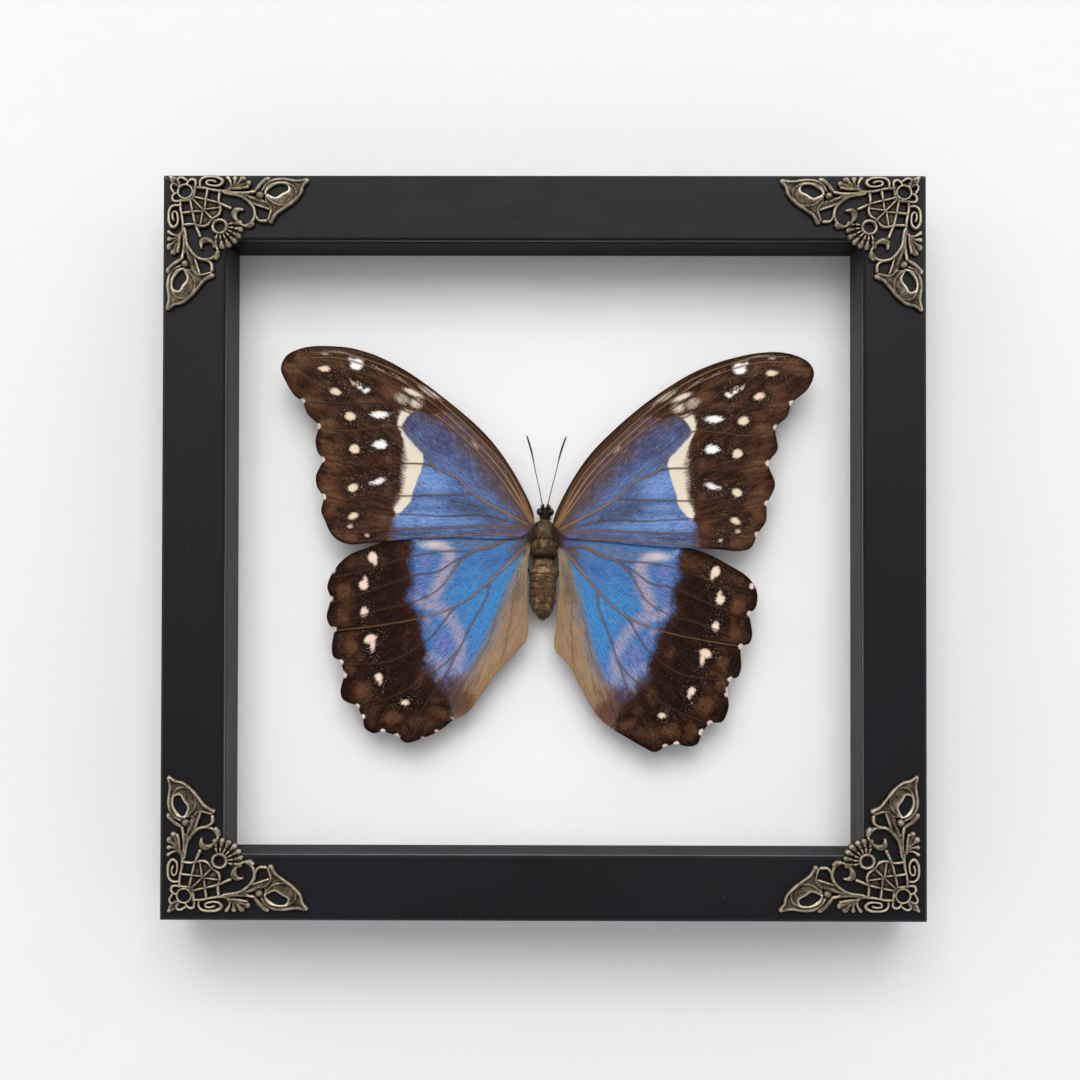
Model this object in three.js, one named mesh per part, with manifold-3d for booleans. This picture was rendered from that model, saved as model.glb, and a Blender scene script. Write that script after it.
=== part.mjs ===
// Framed butterfly specimen: a black shadow-box frame with a cast filigree ornament on each corner,
// and one spread butterfly pinned on a white board behind glass.
//
// Millimetres, +Z up. The frame faces -Y and hangs on a wall whose surface is the plane y = 0.
// The origin is the point on that plane, behind the middle of the sawtooth hanger, that the frame hangs from.

import * as THREE from 'three';
import { mergeVertices } from 'three/addons/utils/BufferGeometryUtils.js';
import Module from 'manifold-3d';

const wasm = await Module();
wasm.setup();

// ---------------------------------------------------------------- driving dimensions

const FRAME_WIDTH = 200;
const FRAME_HEIGHT = 195;
const FRAME_DEPTH = 32;
const SIDE_RAIL_FACE = 16.45;
const LEVEL_RAIL_FACE = 17;
const LIP_THICKNESS = 3;
const RABBET_WIDTH = 3.5;
const RAIL_CHAMFER = 0.6;
const MITRE_GAP = 0.1;

const SEAT_GAP = 0.3;
const SHEET_CLEARANCE = 0.5;
const GLASS_THICKNESS = 2;
const BOARD_FRONT = -8;
const BOARD_THICKNESS = 3;
const PANEL_THICKNESS = 2.5;
const SPACER_THICKNESS = 3;
const SPACER_SETBACK = 0.2;

const HANG_DROP = 27;
const HANGER_WIDTH = 44;
const HANGER_HEIGHT = 9;
const HANGER_THICKNESS = 0.7;
const NAIL_SPACING = 38;

const ORNAMENT_RIDGE = 1.4;

const BUTTERFLY_HEIGHT = 2.3;
const FOREWING_FRONT = -17.3;
const HINDWING_FRONT = -16.6;
const WING_THICKNESS = 0.35;
const WING_RISE_DEG = 2;
const VEIN_HEIGHT = 0.15;
const BODY_DEPTH = -15.8;
const PIN_RADIUS = 0.3;
const PIN_CLEARANCE = 0.3;

// Faces of the sheets inside the frame, from the wall forward.
const BOARD_BACK = BOARD_FRONT + BOARD_THICKNESS;
const PANEL_FRONT = BOARD_BACK + SEAT_GAP;
const PANEL_BACK = PANEL_FRONT + PANEL_THICKNESS;
const LIP_BACK = -FRAME_DEPTH + LIP_THICKNESS;
const GLASS_FRONT = LIP_BACK + SEAT_GAP;
const GLASS_BACK = GLASS_FRONT + GLASS_THICKNESS;

// Half sizes of the opening in the frame's face and of the rabbet behind it.
const OPENING_X = FRAME_WIDTH / 2 - SIDE_RAIL_FACE;
const OPENING_Z = FRAME_HEIGHT / 2 - LEVEL_RAIL_FACE;
const RABBET_X = OPENING_X + RABBET_WIDTH;
const RABBET_Z = OPENING_Z + RABBET_WIDTH;

// ---------------------------------------------------------------- materials

const finish = (color, roughness, metalness = 0) =>
  new THREE.MeshStandardMaterial({ color, roughness, metalness });

const MATERIALS = {
  blackPaint: finish(0x1c1c1e, 0.6),
  charcoalWood: finish(0x3a3a3c, 0.7),
  glass: finish(0xe8eeee, 0.05),
  whiteBoard: finish(0xeeedec, 0.9),
  hardboard: finish(0x6b4a2f, 0.8),
  bronze: finish(0x8a7350, 0.45, 0.9),
  steel: finish(0x9a9a9c, 0.35, 1),
  forewing: finish(0x4f6aa8, 0.6),
  hindwing: finish(0x2f86c8, 0.55),
  bodyHair: finish(0x4b4038, 0.95),
  headBlack: finish(0x171412, 0.4),
  legBrown: finish(0x2e2118, 0.6),
};

// ---------------------------------------------------------------- solids

// A closed geometry without normals or seams, ready for manifold-3d.
function plainGeometry(geometry) {
  const plain = geometry.clone();
  plain.deleteAttribute('normal');
  plain.deleteAttribute('uv');
  return mergeVertices(plain, 1e-4);
}

function toSolid(geometry) {
  const plain = plainGeometry(geometry);
  const mesh = new wasm.Mesh({
    numProp: 3,
    vertProperties: Float32Array.from(plain.attributes.position.array),
    triVerts: Uint32Array.from(plain.index.array),
  });
  return new wasm.Manifold(mesh);
}

function toGeometry(solid) {
  const mesh = solid.getMesh();
  const geometry = new THREE.BufferGeometry();
  geometry.setAttribute('position', new THREE.BufferAttribute(mesh.vertProperties, 3));
  geometry.setIndex(new THREE.BufferAttribute(mesh.triVerts, 1));
  geometry.computeVertexNormals();
  return geometry;
}

const joinAll = (solids) => solids.reduce((joined, solid) => joined.add(solid));

function mesh(name, geometry, material) {
  const piece = new THREE.Mesh(geometry, material);
  piece.name = name;
  return piece;
}

function boxBetween(low, high) {
  const size = high.map((value, axis) => value - low[axis]);
  const geometry = new THREE.BoxGeometry(...size);
  return geometry.translate(...low.map((value, axis) => value + size[axis] / 2));
}

// A round bar along Y from one depth to another.
function barAlongY(radius, fromY, toY, x, z, sides = 12) {
  const geometry = new THREE.CylinderGeometry(radius, radius, toY - fromY, sides);
  return geometry.translate(x, (fromY + toY) / 2, z);
}

// A solid joined from rings of points; the first and last ring are closed with flat ends.
function loft(rings) {
  const sides = rings[0].length;
  const positions = rings.flat().flatMap((point) => [point.x, point.y, point.z]);
  const faces = [];
  for (let ring = 0; ring < rings.length - 1; ring += 1) {
    for (let side = 0; side < sides; side += 1) {
      const next = (side + 1) % sides;
      const a = ring * sides + side;
      const b = ring * sides + next;
      faces.push(a, b, b + sides, a, b + sides, a + sides);
    }
  }
  const lastRing = (rings.length - 1) * sides;
  for (let side = 1; side < sides - 1; side += 1) {
    faces.push(0, side + 1, side);
    faces.push(lastRing, lastRing + side, lastRing + side + 1);
  }
  const geometry = new THREE.BufferGeometry();
  geometry.setAttribute('position', new THREE.Float32BufferAttribute(positions, 3));
  geometry.setIndex(faces);
  geometry.computeVertexNormals();
  return geometry;
}

// A round limb along a smooth curve, whose radius passes through the given radii.
function limb(points, radii, steps, sides) {
  const curve = new THREE.CatmullRomCurve3(points.map((point) => new THREE.Vector3(...point)));
  const frames = curve.computeFrenetFrames(steps);
  const rings = [];
  for (let step = 0; step <= steps; step += 1) {
    const along = step / steps;
    const place = along * (radii.length - 1);
    const low = Math.min(Math.floor(place), radii.length - 2);
    const radius = THREE.MathUtils.lerp(radii[low], radii[low + 1], place - low);
    const centre = curve.getPointAt(along);
    const ring = [];
    for (let side = 0; side < sides; side += 1) {
      const turn = (2 * Math.PI * side) / sides;
      const outward = frames.normals[step].clone().multiplyScalar(Math.cos(turn));
      outward.addScaledVector(frames.binormals[step], Math.sin(turn));
      ring.push(centre.clone().addScaledVector(outward, radius));
    }
    rings.push(ring);
  }
  return loft(rings);
}

// A rounded body along Z: each station is [z, half width, half depth, depth shift].
function roundedBody(stations, sides) {
  const rings = stations.map(([z, halfWidth, halfDepth, shift]) => {
    const ring = [];
    for (let side = 0; side < sides; side += 1) {
      const turn = (2 * Math.PI * side) / sides;
      const x = halfWidth * Math.cos(turn);
      const y = BODY_DEPTH + shift + halfDepth * Math.sin(turn);
      ring.push(new THREE.Vector3(x, y, z));
    }
    return ring;
  });
  return loft(rings);
}

// ---------------------------------------------------------------- frame rails

// Section of a rail: [distance in from the outer edge, y], with the lip at the front and the rabbet behind it.
function railSection(face) {
  const front = -FRAME_DEPTH;
  const wall = face - RABBET_WIDTH;
  return [
    [0, 0],
    [0, front + RAIL_CHAMFER],
    [RAIL_CHAMFER, front],
    [face - RAIL_CHAMFER, front],
    [face, front + RAIL_CHAMFER],
    [face, LIP_BACK],
    [wall, LIP_BACK],
    [wall, 0],
  ];
}

// One rail lying along X with its outer edge up, mitred at both ends.
function mitredRail(length, face, acrossFace) {
  const section = railSection(face);
  const ends = [-1, 1].map((end) =>
    section.map(([inward, y]) => {
      const mitre = (inward * acrossFace) / face;
      const x = end * (length / 2 - mitre - MITRE_GAP / 2);
      return new THREE.Vector3(x, y, -inward);
    }),
  );
  const sides = section.length;
  const positions = ends.flat().flatMap((point) => [point.x, point.y, point.z]);
  const faces = [];
  for (let side = 0; side < sides; side += 1) {
    const next = (side + 1) % sides;
    faces.push(side, next, sides + next, side, sides + next, sides + side);
  }
  const outline = section.map(([inward, y]) => new THREE.Vector2(inward, y));
  for (const [a, b, c] of THREE.ShapeUtils.triangulateShape(outline, [])) {
    faces.push(a, c, b);
    faces.push(sides + a, sides + b, sides + c);
  }
  const geometry = new THREE.BufferGeometry();
  geometry.setAttribute('position', new THREE.Float32BufferAttribute(positions, 3));
  geometry.setIndex(faces);
  return geometry;
}

// The retaining points sit in short slots in the rabbet wall, just behind the back panel.
const POINT_WIDTH = 6;
const POINT_THICKNESS = 0.6;
const POINT_GRIP = 3.5;
const POINT_REACH = 8;
const POINT_FRONT = PANEL_BACK + SEAT_GAP;
const POINT_OFFSETS = [-45, 45];

function slotInRail(face, offset) {
  const wall = -(face - RABBET_WIDTH);
  const half = POINT_WIDTH / 2 + SEAT_GAP;
  const low = [offset - half, POINT_FRONT - SEAT_GAP, wall - 1];
  const high = [offset + half, POINT_FRONT + POINT_THICKNESS + SEAT_GAP, wall + POINT_GRIP + SEAT_GAP];
  return boxBetween(low, high);
}

function retainingPoint(face, offset) {
  const wall = -(face - RABBET_WIDTH);
  const low = [offset - POINT_WIDTH / 2, POINT_FRONT, wall - POINT_REACH];
  const high = [offset + POINT_WIDTH / 2, POINT_FRONT + POINT_THICKNESS, wall + POINT_GRIP];
  return boxBetween(low, high);
}

const RAILS = [
  { side: 'top', turn: 0, length: FRAME_WIDTH, face: LEVEL_RAIL_FACE, acrossFace: SIDE_RAIL_FACE },
  { side: 'right', turn: 1, length: FRAME_HEIGHT, face: SIDE_RAIL_FACE, acrossFace: LEVEL_RAIL_FACE },
  { side: 'bottom', turn: 2, length: FRAME_WIDTH, face: LEVEL_RAIL_FACE, acrossFace: SIDE_RAIL_FACE },
  { side: 'left', turn: 3, length: FRAME_HEIGHT, face: SIDE_RAIL_FACE, acrossFace: LEVEL_RAIL_FACE },
];

// Each rail and its retaining points are made as the top rail is, then turned to their own side.
function frameSides() {
  let pointCount = 0;
  return RAILS.map(({ side, turn, length, face, acrossFace }) => {
    let rail = toSolid(mitredRail(length, face, acrossFace));
    for (const offset of POINT_OFFSETS) {
      rail = rail.subtract(toSolid(slotInRail(face, offset)));
    }
    const group = new THREE.Group();
    group.add(mesh(`frame_rail_${side}`, toGeometry(rail), MATERIALS.blackPaint));
    for (const offset of POINT_OFFSETS) {
      pointCount += 1;
      group.add(mesh(`retaining_point_${pointCount}`, retainingPoint(face, offset), MATERIALS.steel));
    }
    const reach = turn % 2 === 0 ? FRAME_HEIGHT / 2 : FRAME_WIDTH / 2;
    group.rotation.y = (turn * Math.PI) / 2;
    group.position.set(Math.sin(group.rotation.y) * reach, 0, Math.cos(group.rotation.y) * reach);
    return group;
  });
}

// ---------------------------------------------------------------- glass, spacers, board and back

function sheet(front, back) {
  const halfX = RABBET_X - SHEET_CLEARANCE;
  const halfZ = RABBET_Z - SHEET_CLEARANCE;
  return boxBetween([-halfX, front, -halfZ], [halfX, back, halfZ]);
}

function spacers() {
  const front = GLASS_BACK + SEAT_GAP;
  const back = BOARD_FRONT - SEAT_GAP;
  const innerX = OPENING_X + SPACER_SETBACK;
  const innerZ = OPENING_Z + SPACER_SETBACK;
  const outerX = innerX + SPACER_THICKNESS;
  const outerZ = innerZ + SPACER_THICKNESS;
  const sideZ = innerZ - SEAT_GAP;
  const strips = {
    spacer_top: boxBetween([-outerX, front, innerZ], [outerX, back, outerZ]),
    spacer_bottom: boxBetween([-outerX, front, -outerZ], [outerX, back, -innerZ]),
    spacer_left: boxBetween([-outerX, front, -sideZ], [-innerX, back, sideZ]),
    spacer_right: boxBetween([innerX, front, -sideZ], [outerX, back, sideZ]),
  };
  return Object.entries(strips).map(([name, strip]) => mesh(name, strip, MATERIALS.charcoalWood));
}

const PIN_FRONT = -14.9;
const PIN_BACK = BOARD_BACK - 0.6;
const PIN_HOLE_RADIUS = PIN_RADIUS + PIN_CLEARANCE;

function mountBoard() {
  const hole = barAlongY(PIN_HOLE_RADIUS, BOARD_FRONT - 1, PIN_BACK + SEAT_GAP, 0, BUTTERFLY_HEIGHT);
  const board = toSolid(sheet(BOARD_FRONT, BOARD_BACK)).subtract(toSolid(hole));
  return mesh('mount_board', toGeometry(board), MATERIALS.whiteBoard);
}

// The hanger lies in the recess behind the back panel, so that the rails lie flat on the wall.
const HANG_HEIGHT = FRAME_HEIGHT / 2 - HANG_DROP;
const HANGER_FRONT = PANEL_BACK + SEAT_GAP;
const NAIL_RADIUS = 0.6;
const NAIL_HEAD_RADIUS = 1.6;
const NAIL_HEAD_THICKNESS = 0.6;
const NAIL_DEPTH = 2;
const NAIL_HEIGHT = HANG_HEIGHT + 5.5;

function nail(side) {
  const x = (side * NAIL_SPACING) / 2;
  const headFront = HANGER_FRONT + HANGER_THICKNESS + SEAT_GAP / 3;
  const shank = barAlongY(NAIL_RADIUS, PANEL_BACK - NAIL_DEPTH, headFront + 0.1, x, NAIL_HEIGHT, 8);
  const head = barAlongY(NAIL_HEAD_RADIUS, headFront, headFront + NAIL_HEAD_THICKNESS, x, NAIL_HEIGHT);
  return toGeometry(toSolid(shank).add(toSolid(head)));
}

function nailHole(side, fromY, toY) {
  return toSolid(barAlongY(NAIL_RADIUS + SEAT_GAP, fromY, toY, (side * NAIL_SPACING) / 2, NAIL_HEIGHT));
}

function backPanel() {
  let panel = toSolid(sheet(PANEL_FRONT, PANEL_BACK));
  for (const side of [-1, 1]) {
    panel = panel.subtract(nailHole(side, PANEL_BACK - NAIL_DEPTH - SEAT_GAP, PANEL_BACK + 1));
  }
  return mesh('back_panel', toGeometry(panel), MATERIALS.hardboard);
}

// A flat steel plate with a row of saw teeth along its lower edge, between its two nails.
function hangerPlate() {
  const toothCount = 8;
  const toothWidth = 3;
  const toothDepth = 1.6;
  const outline = new THREE.Shape();
  outline.moveTo(-HANGER_WIDTH / 2, -1);
  const firstTooth = (-toothCount * toothWidth) / 2;
  outline.lineTo(firstTooth - 1, -1);
  for (let tooth = 0; tooth < toothCount; tooth += 1) {
    const left = firstTooth + tooth * toothWidth;
    outline.lineTo(left, -toothDepth);
    outline.lineTo(left + toothWidth / 2, 0);
  }
  outline.lineTo(-firstTooth, -toothDepth);
  outline.lineTo(1 - firstTooth, -1);
  outline.lineTo(HANGER_WIDTH / 2, -1);
  outline.lineTo(HANGER_WIDTH / 2, HANGER_HEIGHT - 1);
  outline.lineTo(-HANGER_WIDTH / 2, HANGER_HEIGHT - 1);
  outline.closePath();
  const plate = new THREE.ExtrudeGeometry(outline, { depth: HANGER_THICKNESS, bevelEnabled: false });
  plate.rotateX(Math.PI / 2);
  plate.translate(0, HANGER_FRONT + HANGER_THICKNESS, HANG_HEIGHT);
  let solid = toSolid(plate);
  for (const side of [-1, 1]) {
    solid = solid.subtract(nailHole(side, HANGER_FRONT - 1, HANGER_FRONT + HANGER_THICKNESS + 1));
  }
  return mesh('hanger_plate', toGeometry(solid), MATERIALS.steel);
}

// ---------------------------------------------------------------- corner ornaments

// The casting is drawn from the middle of its outer ring: u runs along one rail, away from the corner, and v
// runs across that rail, towards the opening. It is the same on both sides of the line u = v, so only the
// half along u is written down. Every strand is a list of [u, v, width].
const OUTER_RING = { centre: 0, hole: 1.57, outer: 2.3 };
const INNER_RING = { centre: 9.12, hole: 1.35, outer: 2.3 };

const STRANDS = [
  // oval scroll
  [[3.8, -1.0, 0.5], [3.8, -3.2, 0.5], [5.4, -4.5, 0.55], [8.2, -4.3, 0.55], [9.6, -3.0, 0.6],
    [7.9, -1.8, 0.5], [5.6, -2.4, 0.5], [7.6, -3.1, 0.6]],
  // the short stick above the lattice's end
  [[9.0, 3.2, 0.5], [11.9, 4.2, 0.6]],
  // the cross stick, the open scroll and the beads below it
  [[17.2, 2.3, 0.6], [22.3, 4.4, 0.5]],
  [[15.6, 1.2, 0.8], [17.6, 3.5, 0.7], [18.2, 8.0, 0.8]],
  [[14.6, 8.7, 0.9], [17.8, 8.1, 1.2], [20.8, 7.1, 0.9]],
  [[15.4, 8.5, 0.6], [13.4, 6.9, 0.8], [13.3, 4.6, 1.5], [14.9, 4.15, 0.4]],
  // the stick beside the drop-shaped leaf
  [[18.1, -0.4, 0.7], [21.3, -4.5, 0.9]],
];

// Flat pieces of the casting: an outline and, for the drop-shaped leaf, a hole.
const PLATES = [
  // the outer ring's petals and the pointed leaf at the corner
  { outline: [[-0.4, -1.5], [-0.7, -2.8], [-1.6, -4.2], [-2.0, -3.2], [-1.5, -1.2]] },
  { outline: [[1.7, -0.9], [2.6, -2.1], [1.9, -3.6], [0.9, -3.0], [0.4, -1.6]] },
  { outline: [[-1.2, -1.2], [-2.6, -3.8], [-4.9, -4.9]] },
  // the palmette's five leaves
  {
    outline: [[11.0, -0.3], [11.6, -2.9], [10.6, -4.7], [12.1, -3.5], [12.7, -4.9], [13.4, -3.2], [15.0, -4.4],
      [14.4, -2.5], [16.6, -2.7], [14.6, -1.6], [16.1, -1.4], [13.2, -0.3]],
  },
  // the arm and its fork
  {
    outline: [[9.0, -0.5], [17.9, -0.65], [16.4, 0.3], [19.5, 1.9], [19.4, 2.6], [16.6, 2.4], [14.2, 1.2],
      [9.0, 0.2]],
  },
  // the drop-shaped leaf
  {
    outline: [[19.9, -0.6], [21.3, -3.2], [24.8, -4.45], [28.8, -3.95], [31.3, -4.3], [29.8, -0.2],
      [27.9, 2.4], [23.6, 5.7], [22.6, 7.6], [21.5, 7.4], [22.0, 4.6], [20.2, 1.6]],
    holes: [[[20.9, -0.1], [21.9, -1.8], [24.0, -2.75], [26.3, -2.4], [26.7, -0.9], [23.4, 1.2]]],
  },
];

// The lattice between the two rings: half of its outline, and its four open cells on one side of u = v.
const LATTICE = {
  edge: [[1.2, -1.3], [9.9, -0.7], [9.3, 2.4], [9.5, 5.1], [8.2, 7.9]],
  cells: [
    [[2.3, -0.7], [5.5, -0.6], [5.25, 1.75], [2.2, 1.0]],
    [[6.0, -0.55], [8.6, -0.3], [8.45, 2.5], [5.75, 1.85]],
    [[2.3, 1.6], [5.1, 2.25], [4.95, 4.4]],
    [[5.6, 2.4], [8.5, 3.1], [8.8, 5.1], [7.3, 6.8], [5.4, 4.9]],
  ],
};

const BEAD = { centre: [19.2, 0.5], radius: 1.3, height: 1.9 };

// The flower round the inner ring: rows of rounded petals on the side away from the corner.
const FLOWER = { petals: 5, step: 22, notch: 4.9, reach: 6.1, floor: 4.0, root: 1.8 };

// Shapes are drawn as (u, -v), so that turning them up by 90 degrees about X brings v to -Z.
const flat = ([u, v]) => new THREE.Vector2(u, -v);
const mirrored = ([u, v, ...rest]) => [v, u, ...rest];

function raise(shape, height) {
  return toSolid(new THREE.ExtrudeGeometry(shape, { depth: height, bevelEnabled: false }));
}

// A strand of varying width with one pair of edge points at each of its points.
function strandShape(points) {
  const curve = new THREE.CatmullRomCurve3(points.map(([u, v, width]) => new THREE.Vector3(u, -v, width)));
  const divisions = points.length - 1;
  const leftSide = [];
  const rightSide = [];
  for (let step = 0; step <= divisions; step += 1) {
    const centre = curve.getPoint(step / divisions);
    const tangent = curve.getTangent(step / divisions);
    const normal = new THREE.Vector2(-tangent.y, tangent.x).normalize().multiplyScalar(centre.z / 2);
    leftSide.push(new THREE.Vector2(centre.x + normal.x, centre.y + normal.y));
    rightSide.unshift(new THREE.Vector2(centre.x - normal.x, centre.y - normal.y));
  }
  return new THREE.Shape([...leftSide, ...rightSide]);
}

// An outline that runs anticlockwise, so that any holes in it are turned the other way.
function plateShape(outline, holes = []) {
  const edge = outline.map(flat);
  if (THREE.ShapeUtils.isClockWise(edge)) {
    edge.reverse();
  }
  const shape = new THREE.Shape(edge);
  shape.holes.push(...holes.map((hole) => new THREE.Path(hole.map(flat))));
  return shape;
}

function latticeShape() {
  const { edge, cells } = LATTICE;
  const otherEdge = edge.map(mirrored).reverse();
  return plateShape([...edge, ...otherEdge], [...cells, ...cells.map((cell) => cell.map(mirrored))]);
}

// A disc on the line u = v, rising by its height from the given level.
function disc(centre, radius, height, level = 0) {
  const geometry = new THREE.CylinderGeometry(radius, radius, height, 10);
  return toSolid(geometry.rotateX(Math.PI / 2).translate(centre, -centre, level + height / 2));
}

// A low domed bead.
function beadSolid([u, v]) {
  const { radius, height } = BEAD;
  const profile = [[0, 0], [radius, 0], [radius * 0.7, height * 0.8], [0, height]];
  const geometry = new THREE.LatheGeometry(profile.map(([out, up]) => new THREE.Vector2(out, up)), 6);
  return toSolid(geometry.rotateX(Math.PI / 2).translate(u, -v, 0));
}

// A scalloped fan: the floor between the ring and the petals, then the petals themselves.
function flowerShape() {
  const { centre } = INNER_RING;
  const { petals, step, notch, reach, floor, root } = FLOWER;
  const place = (radius, degrees) => {
    const turn = THREE.MathUtils.degToRad(degrees);
    return [centre + radius * Math.cos(turn), centre + radius * Math.sin(turn)];
  };
  const first = 45 - (petals * step) / 2;
  const outline = [place(root, first - 28), place(floor, first - 14)];
  for (let petal = 0; petal < petals; petal += 1) {
    const start = first + petal * step;
    if (petal > 0) outline.push(place(notch, start));
    outline.push(place(reach, start + step * 0.3), place(reach, start + step * 0.7));
  }
  const last = first + petals * step;
  outline.push(place(floor, last + 14), place(root, last + 28));
  return plateShape(outline);
}

function ornamentGeometry() {
  const solids = [disc(OUTER_RING.centre, OUTER_RING.outer, ORNAMENT_RIDGE)];
  for (const way of [(point) => point, mirrored]) {
    for (const points of STRANDS) {
      solids.push(raise(strandShape(points.map(way)), ORNAMENT_RIDGE));
    }
    for (const { outline, holes = [] } of PLATES) {
      const cut = holes.map((hole) => hole.map(way));
      solids.push(raise(plateShape(outline.map(way), cut), ORNAMENT_RIDGE));
    }
    solids.push(beadSolid(way(BEAD.centre)));
  }
  solids.push(raise(latticeShape(), ORNAMENT_RIDGE));
  solids.push(raise(flowerShape(), ORNAMENT_RIDGE));
  solids.push(disc(INNER_RING.centre, INNER_RING.outer, ORNAMENT_RIDGE));
  let casting = joinAll(solids);
  for (const { centre, hole } of [OUTER_RING, INNER_RING]) {
    casting = casting.subtract(disc(centre, hole, 4 * ORNAMENT_RIDGE, -ORNAMENT_RIDGE));
  }
  return toGeometry(casting).rotateX(Math.PI / 2);
}

// Where each casting's outer ring sits, in from the frame's corner, and how far the casting is turned.
const CORNERS = [
  { name: 'top_left', x: -1, z: 1, inward: [6.0, 4.6], turn: 1.2 },
  { name: 'top_right', x: 1, z: 1, inward: [6.05, 4.75], turn: 1.2 },
  { name: 'bottom_left', x: -1, z: -1, inward: [6.6, 6.6], turn: 0.5 },
  { name: 'bottom_right', x: 1, z: -1, inward: [6.55, 7.0], turn: -0.3 },
];
const LONG_LEG_STRETCH = 0.017;

function cornerOrnaments() {
  const geometry = ornamentGeometry();
  return CORNERS.map(({ name, x, z, inward, turn }) => {
    const ornament = mesh(`corner_ornament_${name}`, geometry, MATERIALS.bronze);
    ornament.rotation.y = THREE.MathUtils.degToRad(turn);
    const group = new THREE.Group();
    group.add(ornament);
    group.scale.set(-x * (1 + LONG_LEG_STRETCH), 1, z * (1 - LONG_LEG_STRETCH));
    const atX = x * (FRAME_WIDTH / 2 - inward[0]);
    const atZ = z * (FRAME_HEIGHT / 2 - inward[1]);
    group.position.set(atX, -FRAME_DEPTH - SEAT_GAP, atZ);
    return group;
  });
}

// ---------------------------------------------------------------- butterfly

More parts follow.
